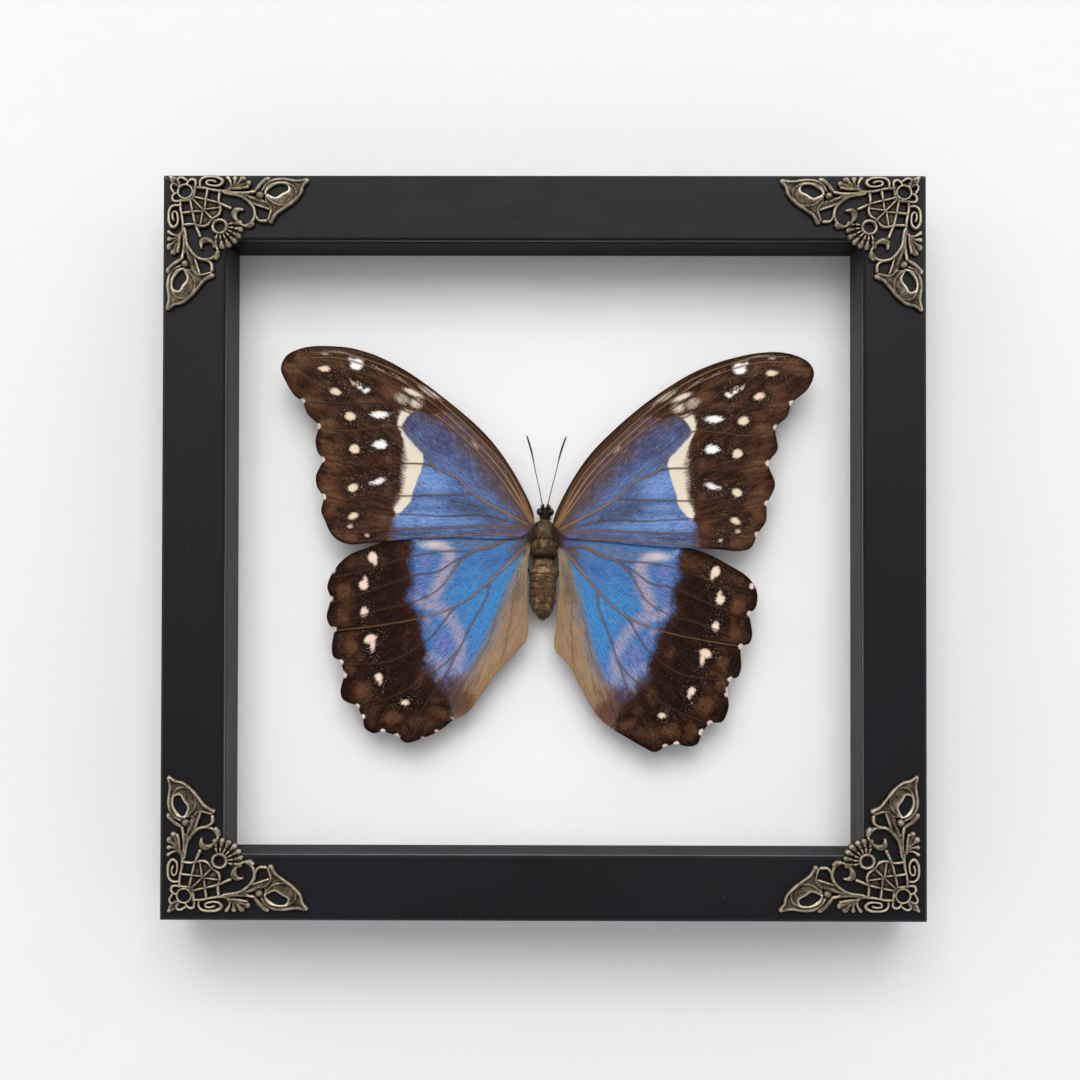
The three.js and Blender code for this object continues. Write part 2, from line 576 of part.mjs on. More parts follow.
// Wing outlines and veins are [distance out from the middle of the body, height above the wing roots].
// The two sides differ a little, as they do on a real, hand-spread specimen.
const WINGS = {
  forewing_left: {
    side: -1,
    front: FOREWING_FRONT,
    material: MATERIALS.forewing,
    outline: [[2.6, 5.7], [6.5, 15.3], [14.7, 27.3], [27.7, 38.8], [40.2, 47.2], [49.8, 51.0], [57.9, 52.0],
      [65.1, 51.4], [69.4, 49.2], [70.7, 45.8], [69.4, 42.4], [67.0, 38.6], [64.8, 36.9], [63.6, 33.8],
      [60.7, 30.5], [61.4, 26.6], [60.7, 23.3], [59.5, 21.4], [61.2, 17.0], [60.9, 14.1], [59.2, 11.3],
      [59.8, 7.6], [58.7, 5.0], [57.5, 2.2], [55.3, -0.2], [52.0, -1.3], [46.7, -0.9], [40.0, -0.2],
      [25.7, 0.6], [6.9, 0.6], [3.7, 2.4]],
    veins: [
      [[4.4, 5.3, 0.9], [12.9, 17.5, 0.8], [27.4, 35.0, 0.6], [40.2, 43.7, 0.5], [51.6, 49.4, 0.4]],
      [[4.6, 4.5, 0.8], [19.0, 12.6, 0.7], [29.6, 19.8, 0.6], [38.3, 29.8, 0.4]],
      [[19.0, 12.6, 0.5], [38.2, 11.6, 0.4], [58.4, 11.1, 0.35]],
      [[29.6, 19.8, 0.5], [50.8, 20.6, 0.4], [58.6, 21.2, 0.35]],
      [[5.9, 3.4, 0.6], [25.8, 3.2, 0.5], [56.5, 2.0, 0.35]],
      [[38.3, 29.8, 0.4], [35.3, 33.0, 0.4], [26.6, 34.3, 0.4]],
    ],
  },
  forewing_right: {
    side: 1,
    front: FOREWING_FRONT,
    material: MATERIALS.forewing,
    outline: [[2.5, 4.7], [5.3, 12.0], [11.6, 22.1], [19.6, 30.4], [28.7, 37.9], [40.2, 45.1], [50.7, 48.9],
      [61.2, 50.5], [67.9, 49.4], [71.2, 47.4], [72.3, 44.8], [70.8, 40.7], [66.4, 36.6], [65.0, 33.0],
      [62.1, 30.1], [62.6, 24.4], [60.2, 20.6], [61.9, 14.8], [59.8, 9.6], [59.5, 5.2], [57.1, 1.4],
      [55.5, -2.0], [52.6, -2.9], [45.9, -2.4], [34.4, -2.0], [13.4, -0.1], [5.7, 0.7], [3.5, 2.4]],
    veins: [
      [[4.3, 5.2, 0.9], [12.4, 18.9, 0.8], [28.5, 34.8, 0.6], [41.9, 43.1, 0.5], [53.9, 47.9, 0.4]],
      [[3.9, 4.2, 0.8], [19.1, 11.1, 0.7], [30.2, 18.9, 0.6], [39.2, 28.9, 0.4]],
      [[19.1, 11.1, 0.5], [35.2, 11.1, 0.4], [58.8, 8.9, 0.35]],
      [[30.2, 18.9, 0.5], [47.3, 18.2, 0.4], [59.4, 20.3, 0.35]],
      [[4.9, 3.3, 0.6], [22.5, 2.4, 0.5], [55.8, 0.5, 0.35]],
      [[39.2, 28.9, 0.4], [36.6, 32.4, 0.4], [28.0, 33.9, 0.4]],
    ],
  },
  hindwing_left: {
    side: -1,
    front: HINDWING_FRONT,
    material: MATERIALS.hindwing,
    outline: [[3.8, 0.7], [11.9, 3.5], [25.3, 4.0], [37.4, 1.8], [45.6, -1.4], [52.2, -4.1], [56.0, -7.7],
      [58.2, -12.6], [57.3, -15.7], [58.3, -20.6], [57.6, -22.8], [56.4, -24.1], [56.9, -28.6],
      [56.5, -31.4], [54.8, -32.6], [53.7, -36.1], [54.5, -40.6], [54.0, -42.7], [52.5, -43.7],
      [50.3, -44.6], [48.5, -48.2], [47.9, -50.6], [45.8, -51.9], [43.2, -51.5], [39.6, -52.6],
      [37.0, -54.4], [33.0, -53.5], [28.1, -51.3], [24.5, -48.6], [20.5, -46.4], [16.5, -41.0],
      [12.5, -35.7], [7.6, -30.3], [4.5, -26.3], [4.4, -19.6], [4.5, -12.1], [4.2, -5.3]],
    veins: [
      [[5.4, 0.0, 0.9], [13.0, -9.8, 0.7], [21.0, -15.6, 0.6], [33.5, -21.0, 0.5], [55.6, -23.6, 0.35]],
      [[13.6, -10.4, 0.6], [17.5, -17.8, 0.5], [26.3, -36.1, 0.45], [37.2, -53.2, 0.35]],
      [[5.9, 0.3, 0.7], [13.0, -1.3, 0.6], [30.7, -10.8, 0.45], [56.6, -15.6, 0.35]],
      [[13.0, -1.3, 0.5], [34.4, -4.5, 0.45], [55.0, -9.6, 0.35]],
    ],
  },
  hindwing_right: {
    side: 1,
    front: HINDWING_FRONT,
    material: MATERIALS.hindwing,
    outline: [[3.9, 0.5], [12.4, 2.8], [24.5, 2.5], [36.4, -1.4], [43.1, -3.2], [49.7, -6.6], [54.6, -9.7],
      [57.0, -13.2], [57.2, -16.8], [56.5, -18.6], [55.3, -19.5], [55.9, -25.3], [55.0, -27.7],
      [53.1, -28.4], [52.9, -34.6], [52.0, -36.7], [50.2, -37.3], [49.3, -40.8], [49.6, -44.8],
      [47.9, -48.6], [44.8, -49.1], [42.6, -51.5], [41.3, -54.6], [39.1, -55.3], [35.5, -54.7],
      [32.9, -55.3], [29.8, -56.8], [26.2, -55.2], [22.2, -52.9], [17.7, -50.1], [14.2, -46.8],
      [10.2, -40.1], [6.6, -33.4], [3.0, -29.4], [3.4, -22.3], [4.0, -13.4], [4.0, -5.9]],
    veins: [
      [[4.7, -1.0, 0.9], [12.4, -11.5, 0.7], [21.5, -18.8, 0.6], [34.7, -25.8, 0.5], [52.2, -28.4, 0.35]],
      [[12.4, -11.5, 0.6], [15.9, -19.1, 0.5], [19.5, -31.6, 0.45], [25.6, -53.2, 0.35]],
      [[5.6, 0.0, 0.7], [17.1, -4.0, 0.6], [36.9, -15.3, 0.45], [54.4, -19.1, 0.35]],
      [[17.1, -4.0, 0.5], [33.9, -5.8, 0.45], [54.0, -12.6, 0.35]],
    ],
  },
};

// A thin flat blade with its main veins standing a little proud of the upper surface.
function wingGeometry({ outline, veins }) {
  const points = outline.map(([out, up]) => new THREE.Vector3(out, up, 0));
  const curve = new THREE.CatmullRomCurve3(points, true, 'centripetal');
  const edge = curve.getPoints(2 * outline.length).slice(0, -1);
  const blade = raise(new THREE.Shape(edge.map(({ x, y }) => new THREE.Vector2(x, y))), WING_THICKNESS);
  const ridges = veins.map((vein) => {
    const strand = strandShape(vein.map(([out, up, width]) => [out, -up, width]));
    return raise(strand, WING_THICKNESS + VEIN_HEIGHT);
  });
  return toGeometry(joinAll([blade, ...ridges])).rotateX(Math.PI / 2);
}

function wings() {
  return Object.entries(WINGS).map(([name, wing]) => {
    const blade = mesh(name, wingGeometry(wing), wing.material);
    blade.rotation.z = -THREE.MathUtils.degToRad(WING_RISE_DEG);
    blade.position.y = wing.front + WING_THICKNESS;
    const group = new THREE.Group();
    group.add(blade);
    group.scale.x = wing.side;
    return group;
  });
}

function thorax() {
  const stations = [
    [-4.4, 1.6, 1.6, 0.2],
    [-3.6, 2.6, 2.6, 0.1],
    [-1.6, 3.2, 3.3, 0],
    [0.8, 3.3, 3.5, -0.1],
    [3.0, 2.75, 3.2, -0.2],
    [4.7, 2.0, 2.4, -0.3],
    [5.6, 1.0, 1.3, -0.3],
  ];
  const hole = barAlongY(PIN_HOLE_RADIUS, PIN_FRONT - SEAT_GAP, BOARD_FRONT, 0, 0);
  return toGeometry(toSolid(roundedBody(stations, 14)).subtract(toSolid(hole)));
}

// Eight ringed segments that swell and then taper to the tip.
function abdomen() {
  const segments = 8;
  const top = -4.8;
  const length = 16.4;
  const stations = [];
  for (let step = 2 * segments; step >= 0; step -= 1) {
    const along = step / (2 * segments);
    const swell = Math.sin(Math.PI * (0.14 + 0.8 * along ** 0.9)) ** 0.62;
    const groove = step % 2 === 0 ? 0.95 : 1;
    stations.push([top - length * along, 3.5 * swell * groove, 3.3 * swell * groove, 0.4]);
  }
  return roundedBody(stations, 12);
}

function head() {
  const centreY = BODY_DEPTH - 0.6;
  const skull = new THREE.SphereGeometry(1, 9, 6).scale(1.25, 1.5, 1.3).translate(0.2, centreY, 7.25);
  const solids = [toSolid(skull)];
  for (const side of [-1, 1]) {
    const eye = new THREE.SphereGeometry(0.9, 7, 5).translate(0.2 + side * 1.35, centreY - 0.5, 7.6);
    solids.push(toSolid(eye));
    const palp = limb(
      [[0.2 + side * 0.45, centreY - 0.9, 8.0], [0.2 + side * 0.55, centreY - 1.5, 8.9],
        [0.2 + side * 0.5, centreY - 1.7, 9.7]],
      [0.45, 0.4, 0.15],
      2,
      4,
    );
    solids.push(toSolid(palp));
  }
  return toGeometry(joinAll(solids));
}

function antenna(side) {
  const path = [[0.6, -16.0, 8.9], [1.7, -16.6, 14], [2.95, -17.4, 19.3], [3.9, -18.0, 23.6], [5.3, -18.6, 28]];
  const points = path.map(([x, y, z]) => [0.1 + side * x, y, z]);
  return limb(points, [0.17, 0.17, 0.17, 0.2, 0.3, 0.26], 10, 5);
}

const LEGS = {
  front: [[1.3, -11.6, 3.4], [4.4, -10.6, 3.0], [3.0, -10.3, -1.4], [2.2, -10.2, -6.4]],
  hind: [[1.5, -11.6, -1.8], [5.4, -10.9, -5.0], [3.4, -10.3, -9.4], [2.2, -10.2, -14.6]],
};

function legs() {
  const pieces = [];
  for (const [pair, path] of Object.entries(LEGS)) {
    for (const [name, side] of [['left', -1], ['right', 1]]) {
      const points = path.map(([x, y, z]) => [side * x, y, z]);
      const geometry = limb(points, [0.45, 0.35, 0.25, 0.2], 7, 5);
      pieces.push(mesh(`leg_${pair}_${name}`, geometry, MATERIALS.legBrown));
    }
  }
  return pieces;
}

const BODY_LEAN_DEG = 1.1;

// The butterfly's own origin is at the roots of its wings; its body leans a little to the right.
function butterfly() {
  const body = new THREE.Group();
  body.rotation.y = THREE.MathUtils.degToRad(BODY_LEAN_DEG);
  body.add(
    mesh('head', head(), MATERIALS.headBlack),
    mesh('thorax', thorax(), MATERIALS.bodyHair),
    mesh('abdomen', abdomen(), MATERIALS.bodyHair),
    mesh('antenna_left', antenna(-1), MATERIALS.headBlack),
    mesh('antenna_right', antenna(1), MATERIALS.headBlack),
  );
  const pin = barAlongY(PIN_RADIUS, PIN_FRONT, PIN_BACK, 0, 0, 8);
  const group = new THREE.Group();
  group.add(...wings(), body, ...legs(), mesh('specimen_pin', pin, MATERIALS.steel));
  group.position.z = BUTTERFLY_HEIGHT;
  return group;
}

// ---------------------------------------------------------------- the whole object

const framedButterfly = new THREE.Group();
framedButterfly.add(
  ...frameSides(),
  mesh('glass_pane', sheet(GLASS_FRONT, GLASS_BACK), MATERIALS.glass),
  ...spacers(),
  mountBoard(),
  backPanel(),
  hangerPlate(),
  mesh('hanger_nail_left', nail(-1), MATERIALS.steel),
  mesh('hanger_nail_right', nail(1), MATERIALS.steel),
  ...cornerOrnaments(),
  butterfly(),
);
framedButterfly.position.z = -HANG_HEIGHT;

export default framedButterfly;
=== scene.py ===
# %% [markdown]
# # A spread butterfly in a black shadow-box frame
#
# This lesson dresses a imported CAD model: a black wooden box frame with a cast filigree corner on each
# mitre, a glass pane, a white board, and a large blue butterfly pinned in the middle. The CAD holds every
# real size. Blender adds what the eye sees: scales, veins, hair, paint, grain and worn bronze. Everything is
# made around the frame, in metres, with -Y towards the viewer.

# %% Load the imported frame
import math

import bpy
import numpy as np
from mathutils import Matrix, Vector
from mathutils.geometry import delaunay_2d_cdt


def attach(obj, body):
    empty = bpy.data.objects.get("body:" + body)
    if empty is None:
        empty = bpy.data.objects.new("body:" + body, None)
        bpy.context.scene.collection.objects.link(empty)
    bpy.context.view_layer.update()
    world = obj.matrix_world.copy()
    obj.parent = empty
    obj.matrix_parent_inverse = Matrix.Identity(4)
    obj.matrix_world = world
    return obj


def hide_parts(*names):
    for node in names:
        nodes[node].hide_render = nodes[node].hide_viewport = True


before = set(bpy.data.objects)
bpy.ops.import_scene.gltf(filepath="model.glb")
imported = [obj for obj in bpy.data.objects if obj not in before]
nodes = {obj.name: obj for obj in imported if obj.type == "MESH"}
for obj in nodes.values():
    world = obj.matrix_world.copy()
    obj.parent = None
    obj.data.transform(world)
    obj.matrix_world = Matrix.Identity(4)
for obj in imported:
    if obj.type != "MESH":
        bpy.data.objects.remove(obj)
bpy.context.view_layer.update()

scene = bpy.context.scene
MM = 0.001

# %% [markdown]
# ## The camera
#
# A picture on a wall is seen almost straight on, so the lens matters more than the angle. The corners of the
# frame, of its opening and of the board lie at three known depths, and together they fix one camera: half a
# metre away, a little below the middle, with a small upward shift of the lens.

# %% The camera
CAMERA_MM = (2.05, -513.6, -85.8)
CAMERA_TURN = (0.0055, 0.0167, -0.0019)  # yaw, pitch, roll in radians
camera_data = bpy.data.cameras.new("camera")
camera_data.lens = 61.46
camera_data.sensor_width = 36
camera_data.shift_x = -0.00126
camera_data.shift_y = 0.03223
camera_data.clip_start = 0.01
camera = bpy.data.objects.new("camera", camera_data)
scene.collection.objects.link(camera)
yaw, pitch, roll = CAMERA_TURN
turn = Matrix.Rotation(yaw, 3, "Z") @ Matrix.Rotation(pitch, 3, "X") @ Matrix.Rotation(roll, 3, "Y")
right, forward, up = (turn @ Vector(axis) for axis in ((1, 0, 0), (0, 1, 0), (0, 0, 1)))
camera.matrix_world = Matrix((
    (right.x, up.x, -forward.x, CAMERA_MM[0] * MM),
    (right.y, up.y, -forward.y, CAMERA_MM[1] * MM),
    (right.z, up.z, -forward.z, CAMERA_MM[2] * MM),
    (0, 0, 0, 1),
))
scene.camera = camera
print("camera", CAMERA_MM, "mm, lens", camera_data.lens)

# %% [markdown]
# ## Writing materials
#
# Materials are node trees. A few small helpers keep them readable. Colours are written as a maker would read
# them off a colour chart, from 0 to 255, and turned into linear light once.

# %% Helpers for node trees
def paint(red, green, blue):
    """A chart colour as linear light with full alpha."""
    light = []
    for value in (red, green, blue):
        value /= 255
        light.append(value / 12.92 if value <= 0.04045 else ((value + 0.055) / 1.055) ** 2.4)
    return (*light, 1.0)


def wire(tree, value, socket):
    """Links a node's output to a socket, or sets the socket to a plain value."""
    if isinstance(value, bpy.types.NodeSocket):
        tree.links.new(value, socket)
    else:
        socket.default_value = value


def dress(tree, node, **values):
    """Wires or sets a node's inputs by name, with an underscore for each space."""
    for name, value in values.items():
        wire(tree, value, node.inputs[name.replace("_", " ")])
    return node


def put(tree, kind, settings=None, **values):
    """Adds a node, sets its properties, and wires or sets its inputs by name."""
    node = tree.nodes.new(kind)
    for name, value in (settings or {}).items():
        setattr(node, name, value)
    return dress(tree, node, **values)


def calc(tree, operation, a, b, c=0.0, clamp=False):
    """One step of arithmetic on a, b and, where the operation has it, c."""
    node = put(tree, "ShaderNodeMath", {"operation": operation, "use_clamp": clamp})
    for value, socket in zip((a, b, c), node.inputs):
        wire(tree, value, socket)
    return node.outputs[0]


def blend(tree, factor, a, b):
    """Colour a where the factor is 0, and colour b where it is 1."""
    node = put(tree, "ShaderNodeMix", {"data_type": "RGBA"})
    for value, socket in ((factor, node.inputs[0]), (a, node.inputs[6]), (b, node.inputs[7])):
        wire(tree, value, socket)
    return node.outputs[2]


def step(tree, value, low, high, to_low=0.0, to_high=1.0):
    """A smooth step of value from low to high."""
    node = put(tree, "ShaderNodeMapRange", {"interpolation_type": "SMOOTHSTEP"}, Value=value,
               From_Min=low, From_Max=high, To_Min=to_low, To_Max=to_high)
    return node.outputs[0]


def noise(tree, vector, scale, detail, roughness):
    node = put(tree, "ShaderNodeTexNoise", Vector=vector, Scale=scale, Detail=detail, Roughness=roughness)
    return node.outputs[0]


def stretched(tree, vector, scale, turn=(0, 0, 0)):
    return put(tree, "ShaderNodeMapping", Vector=vector, Scale=scale, Rotation=turn).outputs[0]


def place(tree):
    """The point's own place on the object, in metres."""
    return put(tree, "ShaderNodeTexCoord").outputs["Object"]


def bump(tree, height, distance, strength):
    return put(tree, "ShaderNodeBump", Height=height, Distance=distance, Strength=strength).outputs[0]


def new_material(name, **values):
    """A material with one Principled shader. Plain values go straight to its sockets."""
    material = bpy.data.materials.new(name)
    material.use_nodes = True
    tree = material.node_tree
    return material, tree, dress(tree, tree.nodes["Principled BSDF"], **values)


def clear_where(tree, mask, shader):
    """Where the mask is 1, light goes straight through the material."""
    clear = put(tree, "ShaderNodeBsdfTransparent").outputs[0]
    mix = tree.nodes.new("ShaderNodeMixShader")
    for value, socket in zip((mask, shader.outputs[0], clear), mix.inputs):
        wire(tree, value, socket)
    dress(tree, tree.nodes["Material Output"], Surface=mix.outputs[0])


def new_group(name, inputs, outputs):
    """A node group with named sockets. Each entry is (name, type, default)."""
    group = bpy.data.node_groups.new(name, "ShaderNodeTree")
    kinds = {"value": "NodeSocketFloat", "colour": "NodeSocketColor", "vector": "NodeSocketVector"}
    for label, kind, default in inputs:
        socket = group.interface.new_socket(label, in_out="INPUT", socket_type=kinds[kind])
        if default is not None:
            socket.default_value = default
    for label, kind in outputs:
        group.interface.new_socket(label, in_out="OUTPUT", socket_type=kinds[kind])
    return group, group.nodes.new("NodeGroupInput").outputs, group.nodes.new("NodeGroupOutput").inputs


def use_group(tree, group, **values):
    return put(tree, "ShaderNodeGroup", {"node_tree": group}, **values).outputs


def attribute(tree, name, output="Fac"):
    """A value that the mesh stores for each of its points."""
    return put(tree, "ShaderNodeAttribute", {"attribute_name": name}).outputs[output]


print("white, as light:", [round(value, 3) for value in paint(255, 255, 255)])

# %% [markdown]
# ## Shared effects
#
# Paint, wood, board and card all show a fine irregular surface, only at different sizes. One group makes it:
# a slow cloudiness that shifts the colour a little, and a fine tooth that gives the bump.

# %% Fine tooth and slow cloud, as one node group
tooth_group, tooth_in, tooth_out = new_group(
    "fine_tooth",
    [("Vector", "vector", None), ("Cloud Size", "value", 40.0), ("Tooth Size", "value", 1500.0)],
    [("Cloud", "value"), ("Tooth", "value")],
)
for name, detail, roughness in (("Cloud", 4.0, 0.6), ("Tooth", 2.0, 0.7)):
    pattern = noise(tooth_group, tooth_in["Vector"], tooth_in[name + " Size"], detail, roughness)
    wire(tooth_group, pattern, tooth_out[name])
print("group:", tooth_group.name)

# %% [markdown]
# ## The wall and the light
#
# The frame hangs on a pale, faintly uneven plaster wall. The wall is a stage piece, not part of the object.
# It has an opening behind the frame, which the frame always covers, and it is clear from behind, so that the
# back of the frame can be lit and looked at as well.

# %% The wall
def wall_material():
    material, tree, shader = new_material("wall_plaster", Roughness=0.95)
    tooth = use_group(tree, tooth_group, Vector=place(tree), Cloud_Size=9.0, Tooth_Size=260.0)
    colour = blend(tree, tooth["Cloud"], paint(240, 240, 239), paint(247, 246, 245))
    relief = calc(tree, "ADD", tooth["Cloud"], calc(tree, "MULTIPLY", tooth["Tooth"], 0.25))
    dress(tree, shader, Base_Color=colour, Normal=bump(tree, relief, 0.0009, 0.55))
    clear_where(tree, put(tree, "ShaderNodeNewGeometry").outputs["Backfacing"], shader)
    return material


def wall_with_opening(half_size, centre, opening_x, opening_z):
    """A flat wall in the plane y = 0, facing -Y, made of eight panels round an opening."""
    xs = (-half_size, -opening_x, opening_x, half_size)
    zs = (centre - half_size, centre - opening_z, centre + opening_z, centre + half_size)
    corners = [(x, 0.0, z) for z in zs for x in xs]
    faces = [(4 * row + col, 4 * row + col + 1, 4 * row + col + 5, 4 * row + col + 4)
             for row in range(3) for col in range(3) if (row, col) != (1, 1)]
    mesh = bpy.data.meshes.new("wall")
    mesh.from_pydata(corners, [], faces)
    return mesh


FRAME_CENTRE_Z = -70.5 * MM
WALL_HALF = 2.0
OPENING_X, OPENING_Z = 0.094, 0.091
wall_mesh = wall_with_opening(WALL_HALF, FRAME_CENTRE_Z, OPENING_X, OPENING_Z)
wall_mesh.materials.append(wall_material())
wall = bpy.data.objects.new("wall", wall_mesh)
scene.collection.objects.link(wall)
print("wall panels:", len(wall_mesh.polygons))

# %% [markdown]
# The main light is one broad soft source above and in front, as a window high up or a large soft box would
# give. It leaves a soft shadow under the frame and lets the top rail shade the upper edge of the board. A
# weaker one straight in front lifts that shade. It is hidden from the glass, which would mirror it. A pale
# surround fills the rest.

# %% The light
def area_light(name, place_m, target_m, size, power, colour=(1, 1, 1)):
    data = bpy.data.lights.new(name, "AREA")
    data.shape = "RECTANGLE"
    data.size, data.size_y = size
    data.energy = power
    data.color = colour
    lamp = bpy.data.objects.new(name, data)
    lamp.location = place_m
    lamp.rotation_mode = "QUATERNION"
    lamp.rotation_quaternion = (Vector(target_m) - Vector(place_m)).to_track_quat("-Z", "Y")
    scene.collection.objects.link(lamp)
    return lamp


key_light = area_light("key_light", (-0.04, -2.3, 1.2), (0, 0, -0.10), (1.8, 1.45), 40,
                       (1.0, 0.995, 0.985))
front_light = area_light("front_light", (0.0, -2.4, -0.2), (0, 0, -0.07), (1.7, 1.0), 11)
front_light.visible_glossy = False
front_light.visible_transmission = False
back_light = area_light("back_light", (0.5, 1.6, 1.2), (0, 0, -0.07), (1.5, 1.5), 22)


def studio_world():
    """A surround that is palest overhead and dark straight in front, where the glass would mirror it."""
    world = bpy.data.worlds.new("studio")
    world.use_nodes = True
    tree = world.node_tree
    around = put(tree, "ShaderNodeTexCoord").outputs["Generated"]
    ahead = put(tree, "ShaderNodeVectorMath", {"operation": "DOT_PRODUCT"})
    wire(tree, around, ahead.inputs[0])
    ahead.inputs[1].default_value = (0, -1, 0)
    strength = step(tree, ahead.outputs["Value"], 0.70, 0.93, 0.84, 0.03)
    height = put(tree, "ShaderNodeSeparateXYZ", Vector=around).outputs["Z"]
    strength = calc(tree, "MULTIPLY", strength, step(tree, height, -0.6, 0.45, 0.50, 1.0))
    dress(tree, tree.nodes["Background"], Color=(0.955, 0.965, 1.0, 1), Strength=strength)
    return world


scene.world = studio_world()
scene.view_settings.view_transform = "Standard"
print("lights:", [lamp.name for lamp in (key_light, front_light, back_light)])

# %% [markdown]
# ## The black rails
#
# The four rails are real mitred lengths of moulding, so the CAD solids stay and get their finish here: a matt
# black paint, slightly blue, over fine-grained wood. The grain runs along each rail, which needs one material
# for the upright rails and one for the level ones. A small bevel breaks the arrises.

# %% Black paint over wood grain
def black_paint(name, along):
    """Matt paint whose faint grain runs along the given axis."""
    material, tree, shader = new_material(name, Specular_IOR_Level=0.2)
    point = place(tree)
    squeeze = [1.0 if axis == along else 16.0 for axis in "XYZ"]
    grain = noise(tree, stretched(tree, point, squeeze), 60.0, 5.0, 0.65)
    tooth = use_group(tree, tooth_group, Vector=point, Cloud_Size=22.0, Tooth_Size=2400.0)
    colour = blend(tree, tooth["Cloud"], paint(17, 18, 21), paint(28, 29, 33))
    colour = blend(tree, step(tree, grain, 0.40, 0.70, 0.0, 0.25), colour, paint(13, 14, 16))
    specks = step(tree, noise(tree, point, 900.0, 2.0, 0.5), 0.72, 0.78, 0.0, 0.35)
    colour = blend(tree, specks, colour, paint(80, 81, 83))
    relief = calc(tree, "ADD", grain, calc(tree, "MULTIPLY", tooth["Tooth"], 0.6))
    dress(tree, shader, Base_Color=colour, Roughness=step(tree, grain, 0.2, 0.8, 0.40, 0.48),
          Normal=bump(tree, relief, 0.00003, 0.5))
    return material


def finish_node(name, material, bevel=0.0):
    """Gives a CAD node its material and, if asked, rounds its edges with a modifier."""
    node = nodes[name]
    node.data.materials.clear()
    node.data.materials.append(material)
    if bevel:
        rounding = node.modifiers.new("soft_edges", "BEVEL")
        rounding.width = bevel * MM
        rounding.segments = 2
        rounding.limit_method = "ANGLE"
        rounding.angle_limit = math.radians(30)
        rounding.harden_normals = False


SIDES = (("top", "X"), ("bottom", "X"), ("left", "Z"), ("right", "Z"))  # each side and its long axis
rail_paint = {"X": black_paint("black_paint_level", "X"), "Z": black_paint("black_paint_upright", "Z")}
for side, along in SIDES:
    finish_node(f"frame_rail_{side}", rail_paint[along], bevel=0.18)
print("rails painted")

# %% [markdown]
# ## The spacers, the glass and the board
#
# Behind the glass, dark stained strips line the box and hold the glass off the board. They are sawn wood, so
# the stain shows fine streaks along the strip. The level strips, top and bottom, carry painted shade: they
# are coloured darker than the upright ones to suit how the light from above falls on them. The board is matt
# white card with a barely visible tooth.

# %% Spacers and board
def stained_strip(name, along, dark, light, shine):
    material, tree, shader = new_material(name, Roughness=0.62, Specular_IOR_Level=shine)
    point = place(tree)
    squeeze = [0.6 if axis == along else 28.0 for axis in "XYZ"]
    streaks = noise(tree, stretched(tree, point, squeeze), 40.0, 6.0, 0.75)
    tooth = use_group(tree, tooth_group, Vector=point, Cloud_Size=60.0, Tooth_Size=1800.0)
    colour = blend(tree, step(tree, streaks, 0.30, 0.72), dark, light)
    colour = blend(tree, calc(tree, "MULTIPLY", tooth["Cloud"], 0.35), colour, dark)
    dress(tree, shader, Base_Color=colour, Normal=bump(tree, streaks, 0.00012, 0.7))
    return material


def white_card():
    material, tree, shader = new_material("white_board", Roughness=0.9)
    tooth = use_group(tree, tooth_group, Vector=place(tree), Cloud_Size=18.0, Tooth_Size=900.0)
    shade = calc(tree, "MULTIPLY_ADD", tooth["Tooth"], 0.3, calc(tree, "MULTIPLY", tooth["Cloud"], 0.7))
    dress(tree, shader, Base_Color=blend(tree, shade, paint(236, 235, 235), paint(228, 227, 227)),
          Normal=bump(tree, tooth["Tooth"], 0.00004, 0.5))
    return material


# the level strips are painted darker than the upright ones: painted shade for how the light from above falls
# on them
stain = {"X": stained_strip("charcoal_level_painted_shade", "X", paint(5, 6, 7), paint(22, 23, 24), 0.10),
         "Z": stained_strip("charcoal_upright", "Z", paint(22, 23, 24), paint(56, 57, 58), 0.25)}
for side, along in SIDES:
    finish_node(f"spacer_{side}", stain[along], bevel=0.15)
finish_node("mount_board", white_card())
print("spacers and board finished")

# %% [markdown]
# The back is brown hardboard: pressed fibres, smooth on the face side and flecked. Fibres are short streaks
# in every direction, so two stretched noises are crossed.

# %% Hardboard
def hardboard():
    material, tree, shader = new_material("hardboard", Roughness=0.72)
    point = place(tree)
    fibres = [noise(tree, stretched(tree, point, (900.0, 900.0, 150.0), (0, angle, 0)), 1.0, 3.0, 0.6)
              for angle in (0.5, -0.7)]
    crossed = calc(tree, "MAXIMUM", *fibres)
    tooth = use_group(tree, tooth_group, Vector=point, Cloud_Size=30.0, Tooth_Size=700.0)
    colour = blend(tree, step(tree, crossed, 0.45, 0.75), paint(92, 62, 40), paint(134, 97, 66))
    colour = blend(tree, calc(tree, "MULTIPLY", tooth["Cloud"], 0.4), colour, paint(84, 56, 38))
    dress(tree, shader, Base_Color=colour, Normal=bump(tree, crossed, 0.00008, 0.6))
    return material


finish_node("back_panel", hardboard(), bevel=0.2)
print("back panel finished")

# %% [markdown]
# ## The glass
#
# Picture glass is clear and flat. It is plain glass here, with one addition that every renderer needs: rays
# that only test for shadow pass straight through, so the pane doesn't darken what lies behind it.

# %% The glass pane
def picture_glass():
    material, tree, shader = new_material(
        "picture_glass", Roughness=0.0, Metallic=0.0, IOR=1.45, Transmission_Weight=1.0,
        Base_Color=paint(252, 253, 253))
    clear_where(tree, put(tree, "ShaderNodeLightPath").outputs["Is Shadow Ray"], shader)
    return material


finish_node("glass_pane", picture_glass())
print("glass pane finished")

# %% [markdown]
# ## Steel fittings
#
# The hanger, its nails, the flat points that hold the back in, and the specimen pin are plain steel with a
# brushed, slightly dull face.

